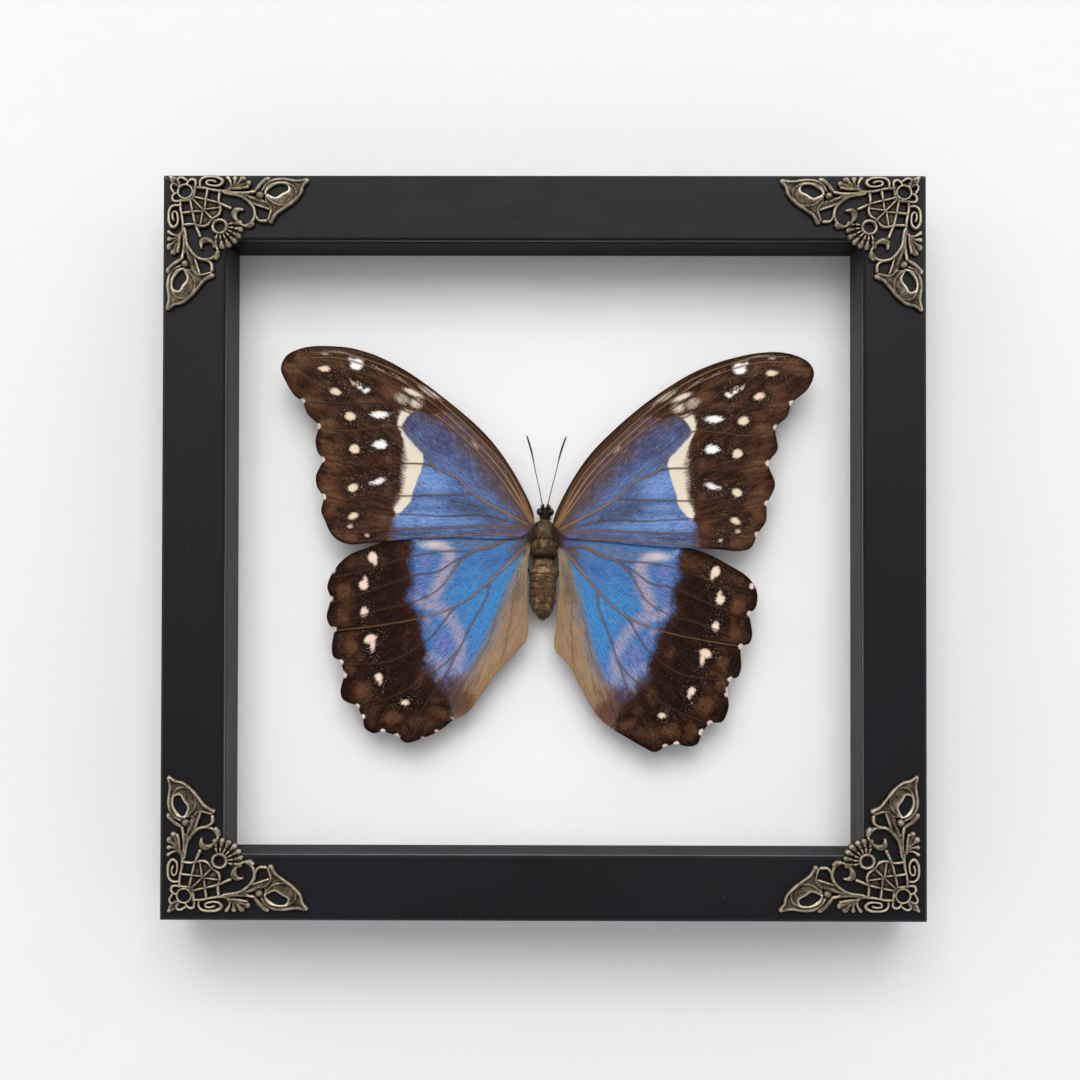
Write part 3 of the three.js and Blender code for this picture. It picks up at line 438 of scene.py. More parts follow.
# %% Steel
def plain_steel():
    material, tree, shader = new_material("plain_steel", Metallic=1.0)
    point = place(tree)
    brushed = noise(tree, stretched(tree, point, (40.0, 900.0, 1400.0)), 1.0, 3.0, 0.6)
    tooth = use_group(tree, tooth_group, Vector=point, Cloud_Size=150.0, Tooth_Size=2600.0)
    colour = blend(tree, tooth["Cloud"], paint(150, 150, 152), paint(186, 186, 188))
    dress(tree, shader, Base_Color=colour, Roughness=step(tree, brushed, 0.2, 0.8, 0.28, 0.48),
          Normal=bump(tree, brushed, 0.00002, 0.5))
    return material


steel = plain_steel()
for name in nodes:
    if name.startswith(("retaining_point", "hanger_", "specimen_pin")):
        finish_node(name, steel, bevel=0.08)
print("steel fittings finished")

# %% [markdown]
# ## Curves and meshes
#
# Wings, veins and castings are all drawn the way a pattern maker draws them: a few given points, and a
# smooth curve through them. These helpers space points evenly along such a curve and measure from it.

# %% Helpers for curves
def smooth_path(points, spacing, closed=False):
    """Evenly spaced points along a centripetal Catmull-Rom curve through the given points."""
    given = np.asarray(points, float)
    if closed:
        ring = np.vstack([given[-1], given, given[:2]])
    else:
        ring = np.vstack([2 * given[0] - given[1], given, 2 * given[-1] - given[-2]])
    pieces = []
    for p0, p1, p2, p3 in zip(ring, ring[1:], ring[2:], ring[3:]):
        knots = np.cumsum([0.0] + [max(np.linalg.norm((b - a)[:2]), 1e-6) ** 0.5
                                   for a, b in ((p0, p1), (p1, p2), (p2, p3))])
        t = np.linspace(knots[1], knots[2], 14)[:-1, None]
        t0, t1, t2, t3 = knots
        a1 = (t1 - t) / (t1 - t0) * p0 + (t - t0) / (t1 - t0) * p1
        a2 = (t2 - t) / (t2 - t1) * p1 + (t - t1) / (t2 - t1) * p2
        a3 = (t3 - t) / (t3 - t2) * p2 + (t - t2) / (t3 - t2) * p3
        b1 = (t2 - t) / (t2 - t0) * a1 + (t - t0) / (t2 - t0) * a2
        b2 = (t3 - t) / (t3 - t1) * a2 + (t - t1) / (t3 - t1) * a3
        pieces.append((t2 - t) / (t2 - t1) * b1 + (t - t1) / (t2 - t1) * b2)
    pieces.append(given[:1] if closed else given[-1:])
    dense = np.vstack(pieces)
    along = np.concatenate([[0], np.cumsum(np.linalg.norm(np.diff(dense[:, :2], axis=0), axis=1))])
    count = max(int(round(along[-1] / spacing)), 2)
    wanted = np.linspace(0, along[-1], count + 1)
    if closed:
        wanted = wanted[:-1]
    return np.stack([np.interp(wanted, along, dense[:, axis]) for axis in range(dense.shape[1])], axis=1)


def line_distance(points, line, closed=False):
    """Distance from each point to a polyline, and the index of the nearest segment."""
    ends = np.roll(line, -1, axis=0) if closed else line[1:]
    starts = line if closed else line[:-1]
    best = np.full(len(points), np.inf)
    where = np.zeros(len(points), int)
    for index, (a, b) in enumerate(zip(starts[:, :2], ends[:, :2])):
        along = b - a
        t = np.clip(((points - a) @ along) / max(along @ along, 1e-12), 0, 1)
        gap = np.linalg.norm(points - (a + t[:, None] * along), axis=1)
        nearer = gap < best
        best[nearer], where[nearer] = gap[nearer], index
    return best, where


def inside(points, polygon):
    """Which points lie inside a closed outline."""
    x, y = points[:, 0], points[:, 1]
    result = np.zeros(len(points), bool)
    for (x1, y1), (x2, y2) in zip(polygon[:, :2], np.roll(polygon, -1, axis=0)[:, :2]):
        crosses = (y1 > y) != (y2 > y)
        with np.errstate(divide="ignore", invalid="ignore"):
            at = (x2 - x1) * (y - y1) / (y2 - y1) + x1
        result ^= crosses & (x < at)
    return result


def signed_distance(points, polygon):
    """Distance to a closed outline, positive inside it."""
    gap, _ = line_distance(points, polygon, closed=True)
    return np.where(inside(points, polygon), gap, -gap)


def swell(value, low, high):
    """A smooth step of an array from low to high."""
    t = np.clip((value - low) / (high - low), 0, 1)
    return t * t * (3 - 2 * t)


square = smooth_path([(0, 0), (1, 0), (1, 1), (0, 1)], 0.2, closed=True)
print("a square's middle lies inside it by", signed_distance(np.array([[0.5, 0.5]]), square).round(2))

# %% [markdown]
# Meshes are built from plain arrays in millimetres. A thin piece, such as a wing or a flat-backed casting, is
# a shell: a front, the same faces turned round on a second set of points, and a rim between the two.

# %% Helpers for meshes
def closed_shell(front, count):
    """The front faces, the same turned round and count points on, and the rim between them."""
    edges = dict.fromkeys(pair for face in front for pair in zip(face, face[1:] + face[:1]))
    back = [tuple(n + count for n in reversed(face)) for face in front]
    rim = [(end, start, start + count, end + count) for start, end in edges if (end, start) not in edges]
    return front + back + rim


def mesh_object(name, vertices_mm, faces, material, attributes):
    """A smooth-shaded object from millimetre points, with named values stored for each point."""
    mesh = bpy.data.meshes.new(name)
    mesh.from_pydata((np.asarray(vertices_mm, float) * MM).tolist(), [], faces)
    mesh.materials.append(material)
    for label, values in attributes.items():
        kind = "FLOAT_VECTOR" if np.ndim(values) == 2 else "FLOAT"
        data = mesh.attributes.new(label, kind, "POINT").data
        data.foreach_set("vector" if kind == "FLOAT_VECTOR" else "value", np.ravel(values).astype(np.float32))
    mesh.polygons.foreach_set("use_smooth", [True] * len(mesh.polygons))
    mesh.validate()
    piece = bpy.data.objects.new(name, mesh)
    scene.collection.objects.link(piece)
    return piece


def mount(piece, node_names):
    """The piece rides with the object and stands for its CAD nodes, which it hides."""
    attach(piece, "root")
    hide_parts(*node_names)
    print(piece.name, "-", len(piece.data.polygons), "faces")


# %% [markdown]
# ## The wings: outline and veins
#
# A butterfly's wing is a dry film stretched over stiff veins. Each outline below has a point wherever the
# real margin turns: the straight front edge, the tip, the scallops between the veins, the inner fold. The two
# sides differ a little, because a specimen is spread by hand. Distances are in millimetres, out from the
# middle of the body and up from the wing roots. The veins are drawn once, for the left side, and carried to
# the right side by a small shear and turn.

# %% Wing outlines and veins
FOREWING_LEFT = [
    (2.6, 5.7), (6.5, 15.3), (14.7, 27.3), (27.7, 38.8), (40.2, 47.2), (49.8, 51), (57.9, 52), (65.1, 51.4),
    (69.4, 49.2), (70.7, 45.8), (69.4, 42.4), (67, 38.6), (64.8, 36.9), (63.6, 33.8), (60.7, 30.5),
    (61.4, 26.6), (60.7, 23.3), (59.5, 21.4), (61.2, 17), (60.9, 14.1), (59.2, 11.3), (59.8, 7.6), (58.7, 5),
    (57.5, 2.2), (55.3, -.2), (52, -1.3), (46.7, -.9), (40, -.2), (25.7, .6), (6.9, .6), (3.7, 2.4)]
FOREWING_RIGHT = [
    (2.5, 4.7), (5.3, 12), (11.6, 22.1), (19.6, 30.4), (28.7, 37.9), (40.2, 45.1), (50.7, 48.9),
    (61.2, 50.5), (67.9, 49.4), (71.2, 47.4), (72.3, 44.8), (70.8, 40.7), (66.4, 36.6), (65, 33),
    (62.1, 30.1), (62.6, 24.4), (60.2, 20.6), (61.9, 14.8), (59.8, 9.6), (59.5, 5.2), (57.1, 1.4),
    (55.5, -2), (52.6, -2.9), (45.9, -2.4), (34.4, -2), (13.4, -.1), (5.7, .7), (3.5, 2.4)]
HINDWING_LEFT = [
    (3.8, .7), (11.9, 3.5), (25.3, 4), (37.4, 1.8), (45.6, -1.4), (52.2, -4.1), (56, -7.7), (58.2, -12.6),
    (57.3, -15.7), (58.3, -20.6), (57.6, -22.8), (56.4, -24.1), (56.9, -28.6), (56.5, -31.4), (54.8, -32.6),
    (53.7, -36.1), (54.5, -40.6), (54, -42.7), (52.5, -43.7), (50.3, -44.6), (48.5, -48.2), (47.9, -50.6),
    (45.8, -51.9), (43.2, -51.5), (39.6, -52.6), (37, -54.4), (33, -53.5), (28.1, -51.3), (24.5, -48.6),
    (20.5, -46.4), (16.5, -41), (12.5, -35.7), (7.6, -30.3), (4.5, -26.3), (4.4, -19.6), (4.5, -12.1),
    (4.2, -5.3)]
HINDWING_RIGHT = [
    (3.9, .5), (12.4, 2.8), (24.5, 2.5), (36.4, -1.4), (43.1, -3.2), (49.7, -6.6), (54.6, -9.7), (57, -13.2),
    (57.2, -16.8), (56.5, -18.6), (55.3, -19.5), (55.9, -25.3), (55, -27.7), (53.1, -28.4), (52.9, -34.6),
    (52, -36.7), (50.2, -37.3), (49.3, -40.8), (49.6, -44.8), (47.9, -48.6), (44.8, -49.1), (42.6, -51.5),
    (41.3, -54.6), (39.1, -55.3), (35.5, -54.7), (32.9, -55.3), (29.8, -56.8), (26.2, -55.2), (22.2, -52.9),
    (17.7, -50.1), (14.2, -46.8), (10.2, -40.1), (6.6, -33.4), (3, -29.4), (3.4, -22.3), (4, -13.4),
    (4, -5.9)]

# Each vein: (how golden it is, [(out, up, width), ...]).
FOREWING_VEINS = [
    (.9, [(3, 5.8, .6), (8.6, 18.6, .32), (17.2, 28.6, .28), (25.8, 36.6, .26), (34.6, 43.8, .24),
          (44, 48.4, .22), (54.6, 51.1, .2), (61, 51.3, .18)]),
    (1, [(2.9, 5.3, .7), (9.8, 18.8, .42), (18.4, 28.4, .38), (26.9, 36.2, .34), (35.6, 43, .3),
         (44.6, 47.3, .26), (54, 50, .22), (63, 50.3, .18)]),
    (1, [(3, 4.9, .7), (11.4, 18.6, .36), (20.1, 28, .3), (28.6, 35.6, .28), (37.2, 42, .24),
         (46.2, 46.2, .2), (56, 48.8, .18), (66, 48.6, .16)]),
    (.9, [(3.4, 4.6, .6), (12.6, 17.8, .26), (21.8, 27.6, .24), (31.2, 35.2, .22), (39.4, 40.6, .2),
          (48, 44.4, .18), (58, 46.8, .16), (68.2, 46, .14)]),
    (.9, [(4.5, 4.3, .7), (9.8, 7.1, .46), (19, 12.4, .36), (23.3, 16.7, .32), (29.6, 19.8, .28),
          (32.4, 23.9, .2), (38.2, 30.1, .2), (44.9, 30.1, .18), (53.5, 29.1, .16), (59.8, 30.5, .16)]),
    (.45, [(19, 12.4, .26), (25.7, 12.1, .22), (35.3, 11.8, .2), (42.9, 11.6, .18), (53.5, 10.4, .15),
           (58.2, 11.6, .15)]),
    (.35, [(29.6, 19.8, .24), (32.9, 20.4, .24), (40.1, 20.4, .22), (46.8, 19.7, .18), (58.6, 21.4, .15)]),
    (.6, [(30.6, 36.6, .22), (27.9, 35, .22), (29.1, 33.5, .2), (33, 34.9, .2), (35.4, 34, .2),
          (39.2, 35.4, .2), (44.9, 36.6, .18), (54.5, 36.5, .16), (64.1, 36.9, .15)]),
    (.4, [(35.4, 34, .2), (38.2, 30.1, .2)]),
    (.6, [(4.5, 3.3, .55), (13.7, 4, .32), (25.7, 3.3, .26), (40, 2.8, .22), (46.7, 1.9, .18),
          (57, 1.7, .15)]),
    (.5, [(5.5, 4, .2), (16, 6.6, .11), (27, 6.4, .09), (37, 6.9, .08), (50, 7.4, .06)]),
    (.8, [(7.4, 1.2, .4), (16.1, 1.5, .26), (30.5, .6, .22), (44, -.3, .2), (52, -.8, .18)]),
]
HINDWING_VEINS = [
    (.95, [(4.1, -.8, .9), (14.3, -10.7, .42), (21, -16.1, .34), (27.2, -19.2, .26), (33, -21, .2),
           (45.5, -23.2, .16), (55.9, -24.4, .15)]),
    (.6, [(14.3, -10.8, .34), (15.7, -16, .28), (18.8, -21.4, .24), (22.8, -29.4, .22), (27.2, -37.5, .2),
          (34.3, -48.2, .15), (36.9, -53.5, .15)]),
    (.8, [(5.6, .2, .6), (9.5, .4, .4), (13, -1.1, .32), (18.8, -3.1, .25), (22.8, -6.2, .2),
          (28.6, -13.4, .18), (34.8, -16.5, .18), (46.8, -19.7, .15), (56.6, -23.2, .15)]),
    (.6, [(9.5, .4, .28), (15, -2.2, .2), (21, -2.9, .2), (27.7, -3.1, .2), (35.3, -4.3, .18),
          (46.9, -8.1, .16), (56, -10.1, .15)]),
    (.45, [(18.8, -3.1, .2), (24.2, -5.8, .18), (28.6, -8.5, .17), (34.4, -9.4, .16), (45.5, -13.4, .15),
           (57, -17, .15)]),
    (.4, [(21.6, -16.4, .2), (23.7, -17.8, .19), (27.2, -22.3, .17), (31.2, -26.8, .16), (40.6, -32.4, .15),
          (54, -33.6, .15)]),
    (.4, [(22.8, -29.4, .19), (26.3, -33, .17), (31.2, -36.5, .15), (38.8, -41.3, .15), (49.6, -45.4, .15)]),
    (.5, [(13, -21.4, .3), (15.2, -27.6, .26), (18.4, -33.6, .22), (22.6, -40.4, .18), (27.6, -50.4, .15)]),
    (.5, [(4.9, -2.6, .6), (7.6, -12, .22), (9, -22, .17), (11.6, -33, .15)]),
]

# How the left side's drawing is carried to the right side: (out, up) = matrix @ (out, up) + shift.
CARRY = {
    "forewing": (np.array([[0.9991, 0.047], [0.0026, 1.0024]]), np.array([-0.12, -1.33])),
    "hindwing": (np.array([[0.9758, 0.1471], [-0.0372, 1.0001]]), np.array([1.90, -1.96])),
}
print("veins drawn:", len(FOREWING_VEINS), "and", len(HINDWING_VEINS))

# %% [markdown]
# ## The wings: the pattern
#
# The colours come from scales, so the pattern has crisp places, such as the white spots, and soft ones, such
# as the lavender bloom round the blue. Crisp shapes are outlines or ellipses, and each point of the mesh
# stores its distance from them, which a node can turn into an edge of any sharpness. Soft shapes are washes:
# ellipses that fade out. A brush stroke is (out, up, long radius, short radius, turn in degrees, strength).

# %% Pattern of the forewing
FOREWING_PATTERN = {
    "field": [
        (38.2, 30.1), (35.3, 26), (32.4, 22.4), (33.1, 18.6), (35, 13.3), (35.8, 10.4), (38.6, 7.2),
        (41.2, 5.1), (41.6, 2.2), (41.8, -2.5), (25, -2.5), (2, .5), (1, 4.5), (3.4, 6.4), (11, 19.6),
        (19.3, 28.8), (26, 34.3), (28.4, 34.2), (30.6, 33.6), (33.6, 34.6), (35.6, 34)],
    "band": [
        (36.8, 34.9), (34.4, 33.9), (35.6, 30.1), (33, 27), (30, 22.4), (30.6, 18.6), (33, 12.6), (34, 9.4),
        (36.6, 6.6), (39.6, 6.4), (40.2, 8.4), (39, 11.4), (38.3, 13.7), (38.1, 18.6), (37.7, 22.4),
        (37.8, 26.3), (38.5, 28.6), (39.4, 30.6), (39.2, 33), (38.2, 35.2)],
    "white": [
        (50.3, 47.1, 1.8, 1.5, -20), (51.9, 48.1, .8, .45, 30), (47.8, 40.1, .95, .6, -20),
        (49.3, 41.1, .6, .35, -40), (44.2, 33.6, 2.3, .95, 0), (44, 25.6, 1.75, 1.15, 0),
        (45.6, 25.3, .7, .35, 0), (44.4, 15.7, 1.7, .72, -22), (46.2, 15.2, .6, .3, -10)],
    "buff": [
        (58.9, 45.9, 1.5, .8, 0), (56, 39.7, 1.4, .9, 10), (52.1, 33.2, 1.45, 1.1, 15),
        (50.9, 24.3, 1.35, 1.1, 20), (51.3, 13.9, 1.3, 1.05, -20), (51.2, 6.3, 1.35, .8, -25),
        (52, 3.6, .6, .4, -10), (47.5, 1.2, .5, .35, 20), (58.9, 50, .9, .25, 10)],
    "cream": [
        (35.1, 39.5, 2.9, .75, 22, 1), (30.8, 39.6, 3.8, .62, 33, 1), (34.4, 36.6, 1.9, 1.3, 15, .75),
        (38.2, 37.8, 2.4, 1.5, 20, .5), (51.6, 42.2, 1.7, .25, 50, .7), (50.4, 41.6, 1.7, .25, 42, .75),
        (49.4, 41.9, 1.4, .22, 35, .6), (56, 50.4, 3, .3, 6, .6), (51, 49.2, 3.4, .28, 20, .6),
        (18.6, 25.6, 1.6, .7, 50, .45), (44, 45.6, 3.2, .25, 30, .5), (39, 43.4, 3, .3, 34, .55)],
    "bright": [
        (30.8, 15.8, 5.5, 3.8, 20, .95), (33.5, 5.8, 8.5, 2.3, -2, 1), (25, 4.8, 9, 1.6, 0, .6),
        (27, 21.5, 3.4, 1.6, 35, .4), (31, 10, 5, 1.4, 0, .7)],
    "deep": [
        (28.5, 25.5, 7, 4.6, 50, 1), (35.3, 30.6, 3.4, 2.6, 40, 1), (36.5, 1.6, 9.5, 1, -2, .9),
        (21.5, 20.5, 4.5, 2.4, 45, .6), (21, 1.9, 8, .8, 0, .5)],
    "dusk": [
        (19.6, 25.2, 5.4, 3, 48, .85), (11, 14, 8.5, 2.9, 56, 1), (31.6, 32.4, 4.6, 1.9, 15, .95),
        (25.6, 31.6, 5.2, 1.9, 42, .9), (16, 21, 6, 2.6, 52, .85), (11, 2.4, 7.5, 1.3, 0, .75),
        (23.2, 18.3, 2.2, 1, 40, .5), (6, 6.5, 4.5, 2.4, 50, .9), (20, 2.2, 5, .7, 0, .4)],
    "slate": [
        (19, 8.6, 9, 2.6, 12, .85), (26.5, 10.6, 6, 1.3, 0, .5), (13.5, 5.4, 6, 1.2, 6, .6),
        (24, 14.4, 3.6, 1.6, 25, .4)],
    "pale": [(40, 6, 1.8, 1.6, 0, .4)],
    "umber": [
        (42.4, 2.6, 2.7, 5.2, 0, 1), (40, -1.4, 5, .9, 0, .55), (42.2, 7, 1.6, 1.6, 0, .7),
        (30.6, 34.2, 6, 1.2, 12, .8)],
    "dusk_trails": [
        (1, [(3.6, 6, 3), (9.4, 13, 4.8), (15.2, 21.6, 6.4), (22, 28.4, 5.6), (30, 34, 3)]),
        (.7, [(22, 26, 2.2), (27.6, 29, 2), (33, 31.4, 1.6)])],
    "mottle": [
        (57.6, 31, 2.9, 1.9, 10, .9), (57.8, 24.6, 2.6, 1.5, 0, .6), (57.6, 21, 2.6, 1.3, 0, .6),
        (58, 14, 2.3, 2.2, 0, .8), (57.2, 8.4, 1.9, 2, 0, .7), (60, 41.4, 3.6, 1.9, 10, .5),
        (47.5, 37.2, 5, 1.6, 0, .65), (44.5, 43.2, 5, 1.5, 28, .5), (61.7, 47.8, 4.4, 2, 5, .25),
        (41.2, 39.6, 3.8, 2, 15, .9), (43.4, 5, 2.6, 2.4, 0, .6), (47, 2.4, 3.4, 1, 0, .5),
        (53.6, 2, 2.6, 1, 0, .5), (42.6, 31.8, 1.6, 2.2, 0, .5), (65.6, 45, 2.4, 2.2, 0, .3),
        (52.5, 20, 2.4, 1.2, 0, .25), (55.6, 35, 2.5, 1.2, 0, .5), (41.6, 22, 1.2, 3, 0, .5),
        (42, 12.6, 1.5, 3, 0, .4)],
}

# %% Pattern of the hindwing
HINDWING_PATTERN = {
    "field": [
        (4.1, -.8), (5.9, -5.7), (9.4, -12.5), (13, -21.4), (15.2, -27.6), (19.2, -35.6), (22.7, -40),
        (26.3, -40.4), (28.8, -37.5), (31.4, -34.4), (30.8, -30.3), (32.1, -25.9), (32.6, -22),
        (34.2, -18.3), (36.2, -15.6), (34.8, -12.5), (34.9, -9.4), (36, -5.8), (34.9, -2.7), (34.8, .4),
        (34, 6), (12, 6), (3, 2)],
    "band": [(34.9, -.4), (34.6, 1.4), (31.4, 1.6), (30.6, .2), (32, -1.2)],
    "white": [],
    "tick": [
        (56.5, -8.2, .9, .7, -60), (48.6, -47.4, .7, .7, 0), (39.5, -53.1, 1, .6, -25),
        (32.2, -53.3, 1, .55, 20), (28.4, -51.6, 1, .55, 25), (23.8, -48.4, 1.2, .5, 40),
        (54, -36, .6, .9, 0)],
    "buff": [
        (46, -4.7, 1.2, 1.35, 0), (45.3, -6, .5, .9, 10), (48.4, -12.1, 1.2, 1.3, 0),
        (48, -10.6, .5, .9, -15), (48.2, -19.4, .95, 1.35, 10), (46.6, -26.6, 1.7, 1.1, -25),
        (45.9, -28.3, .6, 1.5, 5), (44.3, -36.8, 1, 1, 0), (43.9, -38, .5, .9, 10),
        (37.2, -43.7, 1, .65, 0)],
    "cream": [
        (30.2, -1.3, 4, 1.4, 0, .58), (27, -1.4, 1.9, 1.3, 20, .4), (6.4, -6.6, 3.2, .35, -62, .6),
        (8.4, -11, 3.6, .35, -64, .5), (5.4, -11, 4, .3, -80, .4), (22.2, -43.2, 2.4, .6, 35, .3)],
    "bright": [
        (15.5, -18, 9.5, 5.2, -55, 1), (20.5, -14, 6.5, 3.6, -20, .85), (17.5, -25.5, 4.4, 2.4, -60, .9),
        (20, -9.5, 6, 2.4, -25, .6), (11, -9, 4, 2, -45, .7)],
    "deep": [
        (21.5, -11.2, 5, .5, -22, .8), (14, -6, 5, 1.6, -30, .6), (8.5, -4, 4, 1.4, -40, .6),
        (20, -7, 5, 1.2, -15, .35)],
    "dusk": [
        (6.5, -1.6, 4, 1.4, -30, .8), (23, -38.6, 4.6, 2.2, -40, .8), (28.8, -37.6, 2.6, 2, 40, .6)],
    "slate": [
        (19, -.9, 8, 1.6, 0, .95), (24.6, -5.6, 2.6, 3.2, 20, .7), (13, .6, 6, 1.3, 0, .9),
        (31.4, -8.2, 2, .9, -10, .5), (30.8, -12.2, 3.2, .6, -20, .55)],
    "pale": [
        (31.4, -17.4, 3, 1.6, 15, .8), (27.6, -33.6, 3.8, 3, 0, .55), (23.6, -35, 3.4, 3, 0, .5),
        (31.6, -21.4, 1.6, 1.2, 0, .55), (30.4, -31.6, 2, 2.4, 0, .5), (28.2, -37, 3, 2.4, 0, .55)],
    "pale_trails": [
        (.8, [(29, -1.2, 1.8), (25.6, -3.4, 2.2), (26.2, -7.4, 2.3), (28.2, -11.6, 2.3), (29.4, -15, 2.2)]),
        (.62, [(33.4, -16.4, 1.8), (29, -17.8, 2.6), (25.4, -21, 2.5), (23, -25.4, 2.3), (22.2, -29.2, 2.2),
               (23.4, -34.6, 3.2)])],
    "umber": [
        (26.2, -40.2, 5.8, 4, -28, 1), (31, -36, 2.8, 3.6, 20, .85), (22.6, -43.4, 4.6, 4.4, -50, 1),
        (19.4, -38.6, 3.4, 1.5, -52, .55), (35.6, -10, 1.2, 9, 0, .55), (33, -22, 1.2, 8, 6, .5),
        (33.6, 1.6, 3, 1.2, 0, .35)],
    "peri": [
        (31.8, -5.5, 2.6, 2.3, 0, 1), (32.9, -9.9, 2.2, 2.4, 0, .8), (33.6, -13.6, 2.2, 2.2, 0, .95),
        (34.9, -16, 1.4, 1.2, 0, .9), (30.6, -23.4, 1.7, 2.2, 0, .95), (27.2, -28.2, 3.2, 3.4, 20, .95)],
    "teal": [(9.2, -11.6, 4.6, 1.1, -62, .6), (12.6, -19.6, 5, .9, -66, .45), (6.4, -5.6, 3.4, 1, -58, .6)],
    "mottle": [
        (53.6, -13.9, 2.2, 2.4, 0, .9), (53.9, -21, 2, 2.3, 0, .75), (51.6, -28.8, 2.6, 2.2, 0, .85),
        (51.8, -34.6, 1.9, 2.2, 0, .7), (48.6, -40.6, 2.8, 2.8, 0, .9), (40.5, -47.6, 3.4, 2.2, -10, .85),
        (45.6, -46.6, 2.4, 2.4, 0, .6), (52.2, -6.6, 2.6, 1.6, -35, .6), (34.8, -48.6, 3.2, 1.9, 0, .55),
        (27.8, -46.4, 3.6, 1.9, 20, .75), (23.4, -43.6, 3.2, 1.9, 40, .8), (36.8, -27, 1.6, 4, 0, .35),
        (33.6, -38, 1.8, 4, 20, .4), (29.8, -43, 2.6, 1.6, 20, .5)],
}
FOLD = [(4.1, -.8), (5.9, -5.7), (9.6, -12.5), (13.4, -21.4), (16.2, -27.6), (20.4, -34.8), (25, -41.6),
        (21, -52), (8, -38), (.0, -30), (.0, -1)]
print("strokes:", sum(len(v) for p in (FOREWING_PATTERN, HINDWING_PATTERN) for v in p.values()))

# %% [markdown]
# ## The wings: the mesh
#
# The film is only a tenth of a millimetre thick. Its mesh is a triangulation of evenly spread points, with
# rows of points along every vein, so that each vein can stand up as a crisp ridge.

# %% Points for the wing mesh
WING_RISE = math.radians(2)
BUTTERFLY_Z = -68.2
FILM = 0.12
MESH_PITCH = 0.52
JITTER = 0.06
VEIN_SHOULDER = 0.09  # from a vein's edge to the row of points beside it
VEIN_CLEARANCE = 0.30  # from a vein's edge to the nearest scattered point
EDGE_CLEARANCE = 0.16
CLOSEST = 0.13


def carried(points, carry, back=False):
    """The left side's drawing carried to the right side, or the right side's points carried back to it."""
    if carry is None:
        return points
    matrix, shift = carry
    moved = np.array(points, float)
    if back:
        moved[:, :2] = (moved[:, :2] - shift) @ np.linalg.inv(matrix).T
    else:
        moved[:, :2] = moved[:, :2] @ matrix.T + shift
    return moved


def spread_points(edge, vein_paths):
    """Points for the triangulation: three rows along each vein and an even scatter elsewhere."""
    rows = []
    for path in vein_paths:
        along = np.gradient(path[:, :2], axis=0)
        across = np.stack([-along[:, 1], along[:, 0]], axis=1) / np.linalg.norm(along, axis=1)[:, None]
        for side in (0, -1, 1):
            rows.append(path[:, :2] + side * across * (path[:, 2:3] / 2 + VEIN_SHOULDER))
    low, high = edge.min(axis=0), edge.max(axis=0)
    xs = np.arange(low[0], high[0], MESH_PITCH)
    ys = np.arange(low[1], high[1], MESH_PITCH * 0.866)  # rows of equal-sided triangles
    grid = np.array([(x + (row % 2) * MESH_PITCH / 2, y) for row, y in enumerate(ys) for x in xs])
    grid += np.random.default_rng(5).uniform(-JITTER, JITTER, grid.shape)
    grid = grid[inside(grid, edge)]
    for path in vein_paths:
        gap, where = line_distance(grid, path)
        grid = grid[gap > path[where, 2] / 2 + VEIN_CLEARANCE]
    kept, taken = [], set()
    for point in np.vstack(rows + [grid]):
        cell = (round(point[0] / CLOSEST), round(point[1] / CLOSEST))
        if cell not in taken:
            taken.add(cell)
            kept.append(point)
    kept = np.array(kept)
    kept = kept[inside(kept, edge)]
    gap, _ = line_distance(kept, edge, closed=True)
    return kept[gap > EDGE_CLEARANCE]


def triangulated(edge, inner):
    points = [Vector(point) for point in np.vstack([edge, inner])]
    result = delaunay_2d_cdt(points, [], [list(range(len(edge)))], 1, 1e-6)
    return np.array([tuple(point) for point in result[0]]), np.array(result[2])


print("forewing, left:", len(smooth_path(FOREWING_LEFT, 0.5, closed=True)), "points round the edge")

# %% [markdown]
# The pattern is stored on those points: how strong each wash is there, or how far a point lies from the edge
# of a crisp shape. Between points the number runs smoothly, so the marks stay sharp although the points are
# half a millimetre apart.

# %% Washes, trails and blots
FAR = 3.0  # a crisp mark is measured no further out than this


def ellipse_reach(points, out, up, long_radius, short_radius, turned):
    """How far out in an ellipse each point lies, squared: 0 in the middle and 1 on the rim."""
    cosine, sine = math.cos(math.radians(turned)), math.sin(math.radians(turned))
    dx, dy = points[:, 0] - out, points[:, 1] - up
    return ((dx * cosine + dy * sine) / long_radius) ** 2 + ((dy * cosine - dx * sine) / short_radius) ** 2


def strokes(points, marks):
    """The strongest of some soft ellipses at each point, from 0 to 1."""
    value = np.zeros(len(points))
    for *ellipse, strength in marks:
        value = np.maximum(value, strength * np.exp(-ellipse_reach(points, *ellipse) ** 1.3))
    return value


def trails(points, marks):
    """The strongest of some soft-edged paths, (strength, [(out, up, half width), ...]), at each point."""
    value = np.zeros(len(points))
    for strength, given in marks:
        path = smooth_path(given, 0.5)
        gap, where = line_distance(points, path)
        value = np.maximum(value, strength * np.exp(-(gap / path[where, 2]) ** 1.9))
    return value


def blots(points, marks):
    """Signed distance to the nearest of some ellipses, positive inside."""
    value = np.full(len(points), -FAR)
    for ellipse in marks:
        reach = np.sqrt(ellipse_reach(points, *ellipse))
        value = np.maximum(value, (1 - reach) * min(ellipse[2:4]))
    return value


def outlined(points, outline, spacing):
    return signed_distance(points, smooth_path(outline, spacing, closed=True))


print("strength in the middle of a stroke:", strokes(np.zeros((1, 2)), [(0, 0, 2, 1, 0, 0.8)]))

# %% [markdown]
# The last values come from the wing itself: the distance from the margin and from the nearest vein, the pale
# ticks where the margin turns in between two scallops, and a flow that fans out from the root, as the rows of
# scales do.

